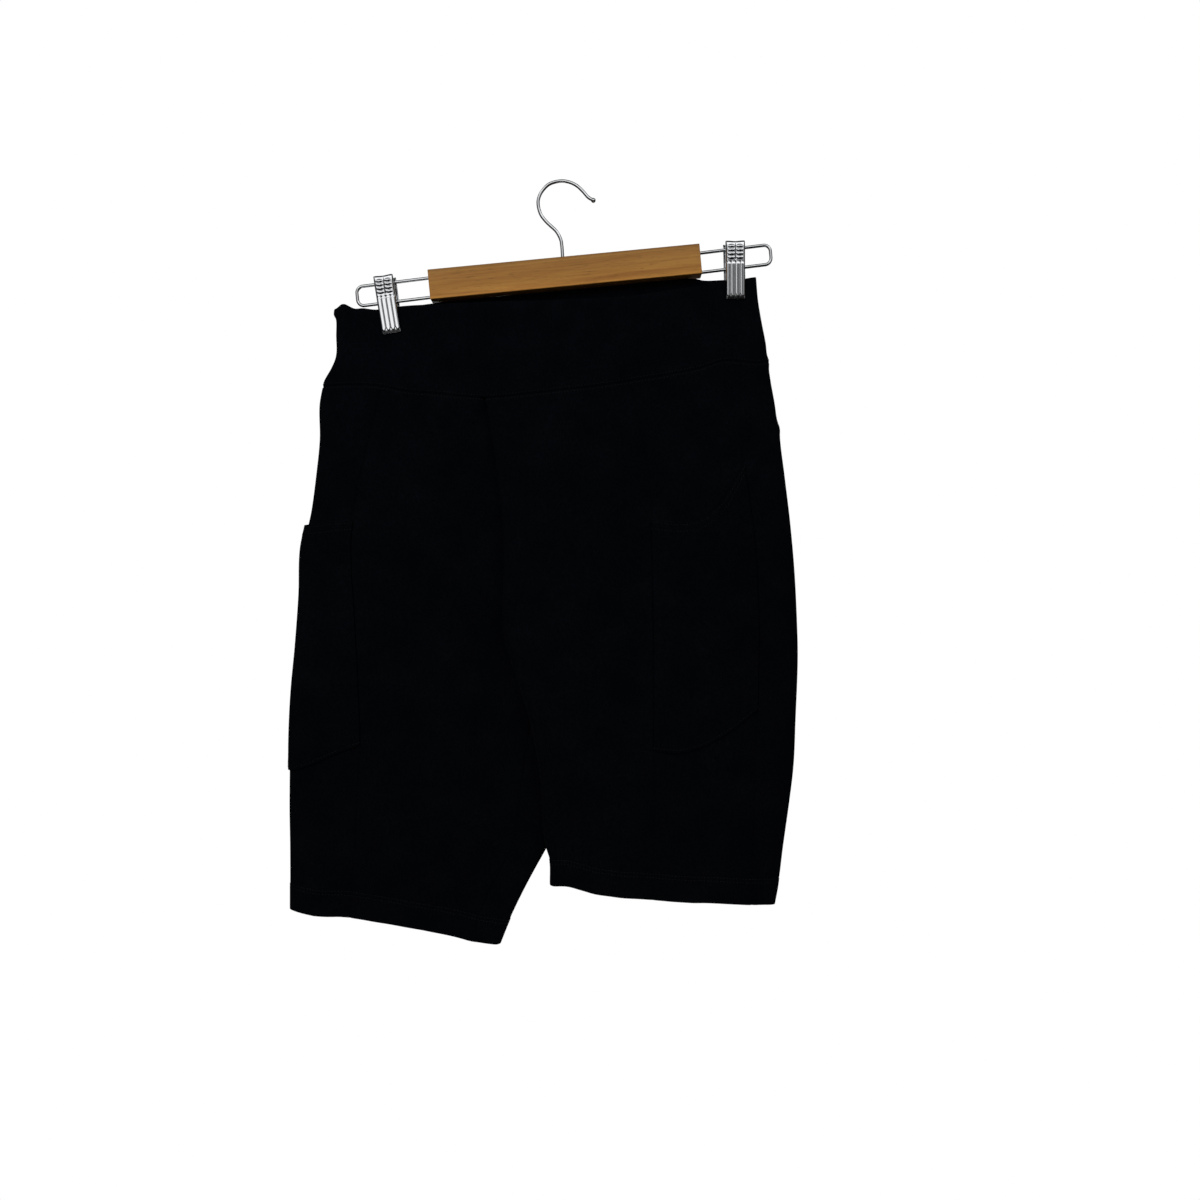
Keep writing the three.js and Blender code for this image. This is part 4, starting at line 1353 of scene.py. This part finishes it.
POCKETS = (
    PocketBag(Side.RIGHT, (4.34, 4.44, 4.38, 3.92, 3.14), (11.38, 11.41, 11.22, 10.86, 10.37)),
    PocketBag(Side.LEFT, (4.3, 4.42, 4.47, 4.45, 3.9), (10.96, 11.5, 11.6, 11.45, 10.9)),
)

# The band's top edge, how far it stands higher at the back, and its two side edges.
BAND_TOP = Track(
    (-197.2, -110.0), (-194.6, -108.4), (-192.9, -106.9), (-190.4, -105.9), (-187.7, -106.4),
    (-184.2, -108.2), (-180.5, -109.6), (-172, -109.5), (-162, -110.5), (-150, -109.0),
    (-138, -107.4), (-110, -106.4), (-65.7, -104.7), (0, -102.6), (58, -99.5), (100, -93.5),
    (140, -86.5), (150, -85.0), (166.1, -82.2))
BACK_RISE = Track(
    (-150, 0), (-126, 0.8), (-116, 2.2), (-105, 3.7), (-87, 4.8), (-59, 6.3), (-27, 8.5),
    (10, 10.7), (41, 12.4), (70, 12.5), (95, 10.9), (108, 10.0), (116, 7.8), (121, 5.5),
    (128, 3.8), (141, 2.0), (152, 0.3), (160, 0))
BAND_LEFT = Track(
    (-107, -197.2), (-110, -197.6), (-111.6, -197.4), (-113.3, -196.7), (-115.2, -195.9),
    (-118, -195.5), (-130, -195.5), (-149.6, -195.7), (-160, -199.6), (-170, -205.0),
    (-176.5, -207))
BAND_RIGHT = Track(
    (-82, 166.3), (-99.5, 167.8), (-118.5, 170.8), (-139.3, 174.7), (-150, 176.0), (-155, 177.9))
BAND_ENDS = (-107.0, -82.0)                             # heights of its top's two side ends
BAND_SEAMS = {Face.FRONT: 146.0, Face.BACK: -175.6}     # where a face's own piece starts
BAND_TURNS = {Face.FRONT: -174.0, Face.BACK: 150.0}     # and where its round edge starts


@dataclass(frozen=True)
class Waistband:
    """The wide yoke of the waist: two pieces that meet at one seam on each face."""

    top_open: float = 4.6           # half the depth between the clips, at the top and the yoke seam
    yoke_open: float = 9.5
    pinched: float = 1.1            # half the depth in the clips' jaws
    pinched_softness: float = 4.0
    frill: float = 1.3              # waves of the free corner, about its middle
    frill_wave: float = 2.3
    frill_start: float = -197.0
    frill_middle: float = -188.0
    frill_width: float = 13.0
    frill_fade: float = 0.45        # share of the way down at which they have died away

    def edges(self, down: Array) -> tuple[Array, Array]:
        """The left and right side edges at a share of the way down."""
        left = BAND_LEFT(mix(BAND_ENDS[0], SECTIONS[0].left_out, down))
        return left, BAND_RIGHT(mix(BAND_ENDS[1], SECTIONS[0].right_out, down))

    def points(self, x: Array, down: Array, face: Face) -> Array:
        """Points of one face.

        Args:
            x: places across.
            down: shares of the way from the top edge to the yoke seam.
            face: front or back.

        Returns:
            The world points.
        """
        left, right = self.edges(down)
        top = BAND_TOP(x) + (BACK_RISE(x) if face is Face.BACK else 0.0)
        z = mix(top, YOKE[face](x) + GAP, down)
        pinch = pinch_at(x, z)
        half = mix(mix(self.top_open, self.yoke_open, np.sqrt(down)), self.pinched, pinch)
        softness = mix(EDGE_SOFTNESS, self.pinched_softness, pinch * (1 - down))
        inside = [np.maximum(reach, 0.0) for reach in (x - left, right - x)]
        y = half * np.sqrt(np.prod([1 - np.exp(-reach / softness) for reach in inside], axis=0))
        frill = self.frill * np.sin((x - self.frill_start) / self.frill_wave)
        frill = frill * hump(x - self.frill_middle, self.frill_width)
        frill = frill * (1 - smoothstep(0.0, self.frill_fade, down))
        return np.stack(np.broadcast_arrays(x, (-y if face is Face.FRONT else y) + frill, z), -1)

    def piece(self, face: Face) -> ClothPiece:
        """One of the two pieces.

        Args:
            face: the face that the piece crosses. It runs on round that face's far side edge.

        Returns:
            The cut piece.
        """
        inward = -GAP if face is Face.FRONT else GAP
        down = spread(BAND_SIZE[1], FINE_PITCH, False)[:, None]
        turning = self.edges(down)[0 if face is Face.FRONT else 1]
        start, stop = BAND_SEAMS[face] + inward, BAND_SEAMS[face.other] + inward
        turn = BAND_TURNS[face]
        flat = mix(start, turn, spread(BAND_SIZE[0], BAND_PITCH, True, False)) + 0 * down
        near, far = mix(turning, turn, NOSE)[:, 1:], mix(turning, stop, SEWN_NOSE[::-1])[:, 1:]
        grid = joined(self.points(joined(flat, near), down, face),
                      self.points(far, down, face.other))
        borders = (Border.FREE, Border.SEAM, Border.SEAM, Border.SEAM)
        return ClothPiece(f"waistband_{face.value}", drape(grid[:, ::-1]), BAND_WALL, borders)


# ------------------------------------------------------------------ node trees that make geometry


class GeometryTree(Nodes):
    """A Geometry Nodes tree that ends in Realize Instances and Set Material."""

    def __init__(self, name: str, **inputs: str) -> None:
        """Starts the tree.

        Args:
            name: the tree's name.
            inputs: the name and the kind, such as Float, of each input after the geometry.
        """
        super().__init__(bpy.data.node_groups.new(name, "GeometryNodeTree"))
        sockets = {"Geometry": "Geometry", **inputs, "Material": "Material"}
        made = {key: self.socket(key, kind, "INPUT") for key, kind in sockets.items()}
        self.socket("Geometry", "Geometry", "OUTPUT")
        self.identifiers = {key: socket.identifier for key, socket in made.items()}
        self.given = self.add("NodeGroupInput").outputs

    def socket(self, name: str, kind: str, way: str) -> bpy.types.NodeTreeInterfaceSocket:
        """Adds an input or an output to the tree's own interface."""
        interface = self.tree.interface
        return interface.new_socket(name=name, in_out=way, socket_type=f"NodeSocket{kind}")

    def close(self, geometry: Node) -> None:
        """Ends the tree with real meshes, shaded smooth, that carry the material input.

        Args:
            geometry: the node whose geometry is the tree's result.
        """
        real = self.add("GeometryNodeRealizeInstances", {0: geometry})
        smooth = self.add("GeometryNodeSetShadeSmooth", {0: real})
        final = self.add("GeometryNodeSetMaterial", {0: smooth, "Material": self.given["Material"]})
        self.add("NodeGroupOutput", {0: final})

    def bake(self, source: Object, name: str, **values: object) -> Object:
        """Runs the tree on an object and keeps its result as a plain mesh.

        Args:
            source: the object that the tree reads, which is then removed.
            name: the name of the new piece.
            values: each input's value.

        Returns:
            The new piece.
        """
        modifier = source.modifiers.new(name, "NODES")
        modifier.node_group = self.tree
        for key, value in values.items():
            modifier[self.identifiers[key]] = value
        depsgraph = bpy.context.evaluated_depsgraph_get()
        mesh = bpy.data.meshes.new_from_object(source.evaluated_get(depsgraph), depsgraph=depsgraph)
        mesh.name = name
        piece = put(name, mesh)
        bpy.data.objects.remove(source)
        return piece


def path_object(paths: Iterable[Array], radii: Array | None = None) -> Object:
    """Makes edges along paths, for a tree to follow.

    Args:
        paths: the points of each path, in millimetres.
        radii: radius at each point of all the paths, if it changes.

    Returns:
        The object that holds the edges.
    """
    points, edges = [], []
    for path in paths:
        edges += [(len(points) + i, len(points) + i + 1) for i in range(len(path) - 1)]
        points += (np.asarray(path) * MM).tolist()
    mesh = bpy.data.meshes.new("path")
    mesh.from_pydata(points, edges, [])
    if radii is not None:
        mesh.attributes.new("wire_radius", "FLOAT", "POINT").data.foreach_set("value", radii * MM)
    return put("path", mesh)


def stitch_tree() -> GeometryTree:
    """A tree that sets stitches along its edges at an even pitch, each a small round grain.

    Returns:
        The tree.
    """
    made = GeometryTree("stitches_along_edges", Pitch="Float", Length="Float", Thickness="Float")
    length, thick = made.given["Length"], made.given["Thickness"]
    curve = made.add("GeometryNodeMeshToCurve", {0: made.given["Geometry"]})
    spaced = made.add("GeometryNodeResampleCurve", {0: curve, "Length": made.given["Pitch"]},
                      mode="LENGTH")
    grain = made.add("GeometryNodeMeshUVSphere", {"Segments": 6, "Rings": 4, "Radius": 0.5})
    scale = made.add("CombineXYZ", {0: length, 1: thick, 2: thick})
    along = made.add("GeometryNodeInputTangent")
    turn = made.add("FunctionNodeAlignRotationToVector", {"Vector": along}, axis="X")
    made.close(made.add("GeometryNodeInstanceOnPoints", {
        "Points": spaced, "Instance": grain, "Rotation": turn, "Scale": scale,
    }))
    return made


def wire_tree() -> GeometryTree:
    """A tree that draws round wire along its edges, as thick as their own radius says.

    Returns:
        The tree.
    """
    made = GeometryTree("wire_along_edges", Sides="Int")
    curve = made.add("GeometryNodeMeshToCurve", {0: made.given["Geometry"]})
    radius = made.add("GeometryNodeInputNamedAttribute", {"Name": "wire_radius"}, data_type="FLOAT")
    profile = made.add("GeometryNodeCurvePrimitiveCircle", {
        "Resolution": made.given["Sides"], "Radius": 1.0,
    })
    made.close(made.add("GeometryNodeCurveToMesh", {
        "Curve": curve, "Profile Curve": profile, "Scale": radius, "Fill Caps": True,
    }))
    return made


@dataclass(frozen=True)
class Thread:
    """The size of one kind of stitch."""

    pitch: float = 2.7
    length: float = 2.15
    thickness: float = 0.5

    def sew(self, tree: GeometryTree, name: str, lines: Iterable[Array],
            material: Material) -> Object:
        """Sews along lines in one material, as one piece."""
        return tree.bake(path_object(lines), name, Pitch=self.pitch * MM, Length=self.length * MM,
                         Thickness=self.thickness * MM, Material=material)


# ------------------------------------------------------------------ hanger


@dataclass(frozen=True)
class WoodBar:
    """The hanger's bar: a plain batten with softly rounded edges."""

    place: Place = Place(1.8, -78.7, 5.46)      # the tilted frame of the bar and its wire loops
    length: float = 234.4
    height: float = 25.6
    thickness: float = 18.0
    corner: float = 0.75
    end_round: float = 0.45

    def top(self) -> float:
        """The height of its top face over the middle, where the hook goes in."""
        return self.place.z + self.height / 2 / math.cos(math.radians(self.place.lean)) + 0.05

    def build(self) -> Object:
        """Builds the batten from rounded sections, drawn in slightly at its two ends.

        Returns:
            The bar, not dressed yet.
        """
        rounds = [(self.end_round * (1 - math.sin(a)), self.end_round * (1 - math.cos(a)))
                  for a in np.linspace(0, QUARTER, 5)]
        places = [(-self.length / 2 + out, inset) for inset, out in rounds]
        places += [(x, 0.0) for x in np.linspace(-1, 1, 9)[1:-1] * (self.length / 2 - 4)]
        places += [(-x, inset) for x, inset in reversed(places[:5])]
        tilted, rings = self.place.frame(), []
        for x, inset in places:
            ring, reach = [], self.corner - inset
            for i, (y_way, z_way) in enumerate(((1, 1), (-1, 1), (-1, -1), (1, -1))):
                for a in np.linspace(0, QUARTER, 7) + i * QUARTER:
                    y = y_way * (self.thickness / 2 - self.corner) + reach * math.cos(a)
                    z = z_way * (self.height / 2 - self.corner) + reach * math.sin(a)
                    ring.append(tilted @ Vector((x, y, z)))
            rings.append(ring)
        return loft("batten", rings)


BAR = WoodBar()


def curve_through(points: Sequence[Pair], fine: int) -> Array:
    """A smooth Catmull-Rom line through points of the XZ plane.

    Args:
        points: the (x, z) points.
        fine: steps between two points.

    Returns:
        Points of the line in the world.
    """
    known = np.array(points, float)
    known = np.concatenate([[2 * known[0] - known[1]], known, [2 * known[-1] - known[-2]]])
    line = []
    for a, b, c, d in zip(known, known[1:], known[2:], known[3:]):
        for t in np.arange(fine) / fine:
            line.append(b + (c - a) * t / 2 + (2 * a - 5 * b + 4 * c - d) * t * t / 2
                        + (3 * b - a - 3 * c + d) * t ** 3 / 2)
    line = np.array(line + [known[-2]])
    return np.stack([line[:, 0], np.zeros(len(line)), line[:, 1]], -1)


@dataclass(frozen=True)
class Hook:
    """The hanger's wire hook, with a small ball at its tip."""

    wire: float = 1.45
    ball: float = 2.1
    path: tuple[Pair, ...] = (
        (-0.3, BAR.top()), (-1.0, -55), (-2.2, -48.4), (-5.8, -41.8), (-10.8, -37), (-15.3, -32.6),
        (-19.2, -27.2), (-21.3, -20.4), (-21.2, -14), (-18.2, -7.2), (-11.8, -0.9), (-2.4, 1.7),
        (5.2, 0.8), (11.8, -2.3), (17.2, -7.2), (21.6, -12.2), (26.2, -15),
    )

    def build(self, tree: GeometryTree, material: Material) -> Object:
        """Draws the wire, whose radius swells into the ball over its last few millimetres.

        Args:
            tree: the tree that draws wire.
            material: the wire's material.

        Returns:
            The hook.
        """
        line, steps = curve_through(self.path, 12), 8
        tip, way = line[-1], (line[-1] - line[-2]) / np.linalg.norm(line[-1] - line[-2])
        beyond = [tip + way * step for step in np.linspace(0.15, 1.0, steps) * self.ball]
        line = np.concatenate([line, beyond])
        away = np.linalg.norm(line - tip, axis=1)
        round_tip = np.sqrt(np.maximum(self.ball ** 2 - away ** 2, 1e-3))
        radii = np.where(away < self.ball, np.maximum(round_tip, self.wire), self.wire)
        radii[-steps:] = round_tip[-steps:]
        return tree.bake(path_object([line], radii), "plated_hook", Sides=28, Material=material)


@dataclass(frozen=True)
class WireLoop:
    """A U of wire out of one end of the bar, with the open ends in the wood."""

    side: Side
    drop: float             # of its middle line under the bar's
    reach: float
    lean: float             # degrees below the bar's own line
    wire: float = 1.4
    height: float = 16.8
    corner: float = 5.5

    def build(self, tree: GeometryTree, material: Material) -> Object:
        """Draws the loop on its side of the bar.

        Args:
            tree: the tree that draws wire.
            material: the wire's material.

        Returns:
            The loop.
        """
        start, end = BAR.length / 2 + 0.05, BAR.length / 2 + self.reach - self.wire
        top, low = self.height / 2 - self.drop, -self.height / 2 - self.drop
        bend = [(end - self.corner + self.corner * math.sin(a),
                 top - self.corner * (1 - math.cos(a))) for a in np.linspace(0, QUARTER, 13)]
        upper = [(x, top) for x in np.linspace(start, end - self.corner, 12)[:-1]]
        lower = [(x, top + low - z) for x, z in reversed(upper + bend)]
        tilted, sag = BAR.place.frame(), math.tan(math.radians(self.lean))
        line = [tilted @ Vector((self.side.sign * x, 0, z - sag * (x - start)))
                for x, z in upper + bend + lower]
        radii = np.full(len(line), self.wire)
        return tree.bake(path_object([np.array(line)], radii), f"plated_loop_{self.side.value}",
                         Sides=24, Material=material)


LOOPS = (WireLoop(Side.RIGHT, 1.55, 62.8, -1.5), WireLoop(Side.LEFT, 0.7, 65.0, 1.6))

# A clip plate's outer face and its flanges' edges, as depths at heights below its top.
PLATE_FACE = Track(
    (0, 6.5), (-0.8, 7.3), (-1.9, 7.7), (-16.5, 7.0), (-20.5, 6.7), (-33, 5.3), (-43.5, 4.2),
    (-46.6, 3.85), (-49.0, 3.22))
PLATE_FLANGE = Track(
    (0, 5.6), (-1.2, 4.6), (-17, 3.6), (-20.5, 3.2), (-33, 2.6), (-44, 2.25), (-49.0, 2.2))
PLATE_LOW = -49.0
GRIP_COLUMNS, GRIP_ROWS = (-3.6, 3.6), (-4.6, -7.8, -11.0, -14.2)
GRIP_SIZE = (3.1, 1.3)
RIB_FADE, RIB_LOW, RIB_PITCH = (-19.6, -17.8), -46.9, 4.0
DIMPLE_Z = -18.2


@dataclass(frozen=True)
class ClipPlate:
    """One pressed plate of a clip, with embossed grips, ribs and a flared lip."""

    width: float
    way: int                        # -1 at the front and 1 at the back
    sheet: float = 0.9

    def relief(self, x: Array, z: Array) -> Array:
        """The embossing over the plate's flat middle, in the clip's own frame.

        Args:
            x: places across the plate.
            z: heights, from 0 at its top edge down.

        Returns:
            The relief, outwards.
        """
        total = np.zeros(np.broadcast(x, z).shape)
        for column in GRIP_COLUMNS:
            for row in GRIP_ROWS:
                lens = 1 - ((x - column) / GRIP_SIZE[0]) ** 2 - ((z - row) / GRIP_SIZE[1]) ** 2
                total += 0.7 * np.clip(lens, 0, 1) ** 0.8
        total -= 0.35 * hump(x, 0.4) * smoothstep(-16.6, -15.6, z) * (1 - smoothstep(-2.4, -1.4, z))
        middle = 2.0 - np.abs((x + 2.0) % RIB_PITCH - 2.0)
        ends = RIB_LOW + 2.6 * smoothstep(0.2, 2.0, middle)
        ribs = (1 - smoothstep(*RIB_FADE, z)) * smoothstep(ends - 0.5, ends + 0.5, z)
        total += ribs * (0.62 * np.sqrt(np.clip(1 - (middle / 2.0) ** 6, 0, 1)) - 0.25)
        for groove in (-RIB_PITCH, 0.0, RIB_PITCH):
            total -= 0.6 * hump(np.hypot(x - groove, z - DIMPLE_Z), 0.8)
        total -= 0.5 * hump(np.hypot(np.abs(x) - 7.4, z - DIMPLE_Z), 0.8)
        return total * (1 - smoothstep(7.0, 7.7, np.abs(x)))

    def shell(self, name: str) -> Shell:
        """The plate's wall in the clip's own frame.

        Args:
            name: the piece's name.

        Returns:
            The shell, not built yet.
        """
        rows = np.linspace(0, PLATE_LOW, 126)[:, None]
        deep = PLATE_FACE(rows) - self.sheet / 2
        tip = np.minimum(PLATE_FLANGE(rows), deep - 0.15)
        bend = np.clip((deep - tip) * 0.8, 0.1, 1.3)
        half = (self.width - self.sheet) / 2
        turn = np.linspace(0, QUARTER, 7)
        flange = mix(tip, deep - bend, np.linspace(0, 1, 7))[:, :-1]
        corner_x, corner_y = half - bend + bend * np.cos(turn), deep - bend + bend * np.sin(turn)
        web = mix(-(half - bend), half - bend, np.linspace(0, 1, 64))[:, 1:-1]
        x = joined(-half + 0 * flange, -corner_x, web, corner_x[:, ::-1], half + 0 * flange)
        y = joined(flange, corner_y, deep + 0 * web, corner_y[:, ::-1], flange[:, ::-1])
        z = rows - 0.5 * hump(x, 4.5) * hump(rows, 2.5)
        grid = np.stack([x, self.way * y, z], -1)[:, ::-self.way]
        embossed = self.relief(grid[..., 0], grid[..., 2])
        grid = grid + grid_normals(grid) * embossed[..., None]
        return Shell(name, grid, self.sheet, (0.7, 0.7, 0.7, 0.7))


@dataclass(frozen=True)
class Spring:
    """The clip's spring: a strip bent under the lower wire, whose legs press the plates apart."""

    width: float = 12.6
    sheet: float = 0.5
    leg: tuple[Pair, ...] = ((-3.5, 5.6), (-13.0, 5.0), (-22.5, 2.75))      # heights and depths
    turn_z: float = -24.0
    radius: float = 2.35

    def shell(self, name: str) -> Shell:
        """The strip's wall in the clip's own frame.

        Args:
            name: the piece's name.

        Returns:
            The shell, not built yet.
        """
        z = np.linspace(self.leg[0][0], self.leg[-1][0], 22)
        leg = np.stack([Track(*self.leg)(z), z], -1)
        bend = self.radius + self.sheet / 2
        angle = np.linspace(HALF_TURN, TURN, 21)
        turn = np.stack([bend * np.cos(angle), self.turn_z + bend * np.sin(angle)], -1)
        line = np.concatenate([leg * (-1, 1), turn, leg[::-1]])
        x = np.linspace(-self.width / 2, self.width / 2, 8)
        grid = np.stack(np.broadcast_arrays(x, line[:, :1], line[:, 1:]), -1)
        return Shell(name, grid, self.sheet)


def place_shell(shell: Shell, place: Matrix) -> Object:
    """Builds a shell of a clip's own frame at the clip's place in the world.

    Args:
        shell: the wall in the clip's own frame.
        place: the clip's place in the world.

    Returns:
        The piece.
    """
    turn, move = np.array(place.to_3x3()), np.array(place.translation)
    shell.grid = shell.grid @ turn.T + move
    return shell.build()


# ------------------------------------------------------------------ studio


@dataclass(frozen=True)
class SoftLight:
    """A square soft light that faces a point of the garment."""

    name: str
    place: tuple[float, float, float]       # metres
    size: float
    power: float
    colour: str = "ffffff"

    def build(self, target: tuple[float, float, float]) -> None:
        """Adds the light to the scene.

        Args:
            target: the point that it faces, in metres.
        """
        data = bpy.data.lights.new(self.name, "AREA")
        data.shape, data.size, data.energy = "SQUARE", self.size, self.power
        data.color = linear(self.colour)[:3]
        lamp = put(self.name, data)
        lamp.location = self.place
        lamp.visible_glossy = False
        way = Vector(target) - Vector(self.place)
        lamp.rotation_euler = way.to_track_quat("-Z", "Y").to_euler()


# Brightness of the mirrored surround along one axis, from direction -1 at 0 to 1 at 1.
SURROUND = {
    "ahead": ((0.0, 0.03), (0.30, 0.035), (0.375, 0.07), (0.455, 0.9), (0.53, 1.25), (0.575, 1.0),
              (0.63, 0.7), (0.70, 0.8), (0.76, 1.4), (0.86, 1.2), (0.91, 0.06), (1.0, 0.04)),
    "behind": ((0.0, 0.03), (0.38, 0.04), (0.45, 1.2), (0.60, 1.4), (0.66, 0.1), (1.0, 0.06)),
    "level": ((0.0, 0.04), (0.13, 0.04), (0.2, 0.2), (0.29, 0.3), (0.365, 0.85), (0.40, 1.0),
              (0.46, 1.0), (0.525, 0.15), (0.66, 0.13), (0.72, 0.4), (0.82, 0.4), (0.87, 0.04),
              (1.0, 0.04)),
    "raised": ((0.0, 0.04), (0.13, 0.04), (0.18, 0.9), (0.45, 1.0), (0.82, 1.0), (0.87, 0.04),
               (1.0, 0.04)),
}


RAISED_FROM = (0.12, 0.3)       # upward direction over which "raised" takes over from "level"
BEHIND_FROM = (0.1, 0.3)        # and the direction along +Y over which "behind" takes over
SKY = (-0.3, 0.25, 0.01, 0.4)   # from and to, and the light on matt surfaces at each


class Studio:
    """The camera, the soft lights, the pale surround and the floor."""

    target = (0.0, 0.0, -0.38)
    lights = (
        SoftLight("key_softbox", (-0.9, -1.5, 0.55), 0.9, 26.0),
        SoftLight("fill_softbox", (1.3, -1.2, -0.1), 1.0, 9.0, "f6f8ff"),
        SoftLight("back_softbox", (-0.5, 1.6, 0.6), 1.2, 22.0),
        SoftLight("back_fill", (0.9, 1.4, 0.1), 1.0, 10.0),
    )
    eye = (0.032, -1.041, -0.3607)          # metres
    lens, sensor = 36.1, 36.0
    board_radius, board_heights = 300.0, (-1050.0, -1062.0)

    def camera(self) -> None:
        """A level camera that looks along +Y with a short normal lens."""
        data = bpy.data.cameras.new("camera")
        data.lens, data.sensor_width = self.lens, self.sensor
        camera = put("camera", data)
        camera.location = self.eye
        camera.rotation_euler = (QUARTER, 0, 0)
        bpy.context.scene.camera = camera

    def tone(self, nodes: Nodes, axis: NodeSocket, name: str) -> Node:
        """Brightness along one axis of the direction.

        Args:
            nodes: the surround's tree.
            axis: the direction's part along that axis.
            name: the row of the table of brightness.

        Returns:
            The node that gives the brightness.
        """
        made = nodes.add("FloatCurve", {1: nodes.span(axis, -1.0, 1.0)})
        made.mapping.clip_max_y = 4.0
        stops, points = SURROUND[name], made.mapping.curves[0].points
        points[0].location, points[-1].location = stops[0], stops[-1]
        for stop in stops[1:-1]:
            points.new(*stop)
        made.mapping.update()
        return made

    def surround(self) -> None:
        """A white surround, whose reflections fall off to darker gaps between soft panels."""
        world = bpy.data.worlds.new("surround")
        bpy.context.scene.world = world
        world.use_nodes = True
        nodes = Nodes(world.node_tree)
        nodes.tree.nodes.clear()
        direction = nodes.add("TexCoord").outputs["Generated"]
        x, y, z = nodes.add("SeparateXYZ", {0: direction}).outputs
        ahead, behind = self.tone(nodes, z, "ahead"), self.tone(nodes, z, "behind")
        level, raised = self.tone(nodes, x, "level"), self.tone(nodes, x, "raised")
        beside = nodes.add("Mix", {0: nodes.span(z, *RAISED_FROM), 2: level, 3: raised})
        both = nodes.add("Mix", {0: nodes.span(y, *BEHIND_FROM), 2: ahead, 3: behind})
        panels = nodes.calc("MULTIPLY", both, beside)
        above = nodes.span(z, *SKY)
        mirrored = nodes.add("Background", {"Color": panels, "Strength": 1.0})
        soft = nodes.add("Background", {"Color": (1, 1, 1, 1), "Strength": above})
        white = nodes.add("Background", {"Color": (1, 1, 1, 1), "Strength": 1.0})
        seen = nodes.add("LightPath").outputs
        lit = nodes.add("MixShader", {0: seen["Is Glossy Ray"], 1: soft, 2: mirrored})
        shown = nodes.add("MixShader", {0: seen["Is Camera Ray"], 1: lit, 2: white})
        nodes.add("OutputWorld", {"Surface": shown})

    def floor(self) -> None:
        """A round pale board well below the hems."""
        rings = [[(self.board_radius * math.cos(a), self.board_radius * math.sin(a), z)
                  for a in np.linspace(0, TURN, 97)[:-1]] for z in self.board_heights]
        dress(loft("studio_board", rings, smooth=False), PaleFloor().material())

    def build(self) -> None:
        """Builds the whole studio."""
        bpy.context.scene.view_settings.view_transform = "Standard"
        self.camera()
        self.surround()
        self.floor()
        for light in self.lights:
            light.build(self.target)


# ------------------------------------------------------------------ the whole object


class Hanger:
    """The wooden bar, the hook, the wire loops and the two clips."""

    def build(self) -> None:
        """Builds every piece of the hanger."""
        chrome, wires = ChromePlate().material(), wire_tree()
        wood = LacqueredWood(tilt=math.radians(BAR.place.lean)).material()
        keep(dress(BAR.build(), wood), "wood_bar")
        keep(Hook().build(wires, chrome), "hook")
        for loop in LOOPS:
            keep(loop.build(wires, chrome), f"wire_loop_{loop.side.value}")
        parts = {"front_plate": ClipPlate(16.7, -1), "back_plate": ClipPlate(18.7, 1),
                 "spring": Spring()}
        for side, place in CLIPS.items():
            for part, form in parts.items():
                node = f"clip_{side.value}_{part}"
                made = place_shell(form.shell(f"plated_{node}"), place.frame())
                keep(dress(made, chrome), node)


class Shorts:
    """The garment's cloth and its stitching."""

    def __init__(self) -> None:
        """Makes the form of every cut piece."""
        pieces = [Waistband().piece(face) for face in Face] + body_pieces()
        pieces += [bag.piece() for bag in POCKETS]
        self.pieces = {piece.node: piece for piece in pieces}
        self.made: dict[str, Object] = {}
        self.sewn: dict[str, Object] = {}

    def build_cloth(self) -> None:
        """Builds each shell and hides the imported node that it stands for."""
        knit = StretchKnit().material()
        for node, piece in self.pieces.items():
            self.made[node] = keep(dress(piece.shell().build(), knit), node)

    def sew(self) -> None:
        """Sews the hems, the pocket mouths and bottoms, and the yoke seam."""
        tree, thread, size = stitch_tree(), SpunThread().material(), Thread()
        lines: dict[str, list[Array]] = {}
        for side in Side:
            panels = [self.pieces[f"{part}_panel_{side.value}"]
                      for part in ("front", "side", "back")]
            bag = self.pieces[f"pocket_{side.value}"]
            lines[f"hem_{side.value}"] = [p.line(2, row, 0.08) for p in panels for row in HEM.rows]
            lines[f"pocket_{side.value}"] = [bag.line(0, row, 0.08) for row in MOUTH.rows]
            lines[f"pocket_{side.value}"].append(bag.line(2, 2.4, 0.06))
            lines.setdefault("yoke", []).extend(p.line(0, 2.0, 0.05) for p in panels)
        bands = [self.pieces[f"waistband_{face.value}"] for face in Face]
        lines["yoke"] += [band.line(2, 2.0, 0.05) for band in bands]
        for name, paths in lines.items():
            self.sewn[name] = keep(size.sew(tree, f"stitching_{name}", paths, thread))

    def declare(self) -> None:
        """Picks out, for each piece, the stitching that goes with it, and does nothing more with
        it.
        """
        for node, piece in self.pieces.items():
            side, extras = node.rsplit("_", 1)[1], []
            if node.startswith("waistband"):
                extras = [self.sewn["yoke"]] if side == "front" else []
            elif node.startswith("pocket"):
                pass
            else:
                extras = [self.sewn[f"hem_{side}"]] if "front" in node else []


def main() -> None:
    """Builds the object and its studio."""
    logging.basicConfig(level=logging.INFO, format="%(message)s")
    Studio().build()
    Hanger().build()
    shorts = Shorts()
    shorts.build_cloth()
    shorts.sew()
    shorts.declare()


if __name__ == "__main__":
    main()
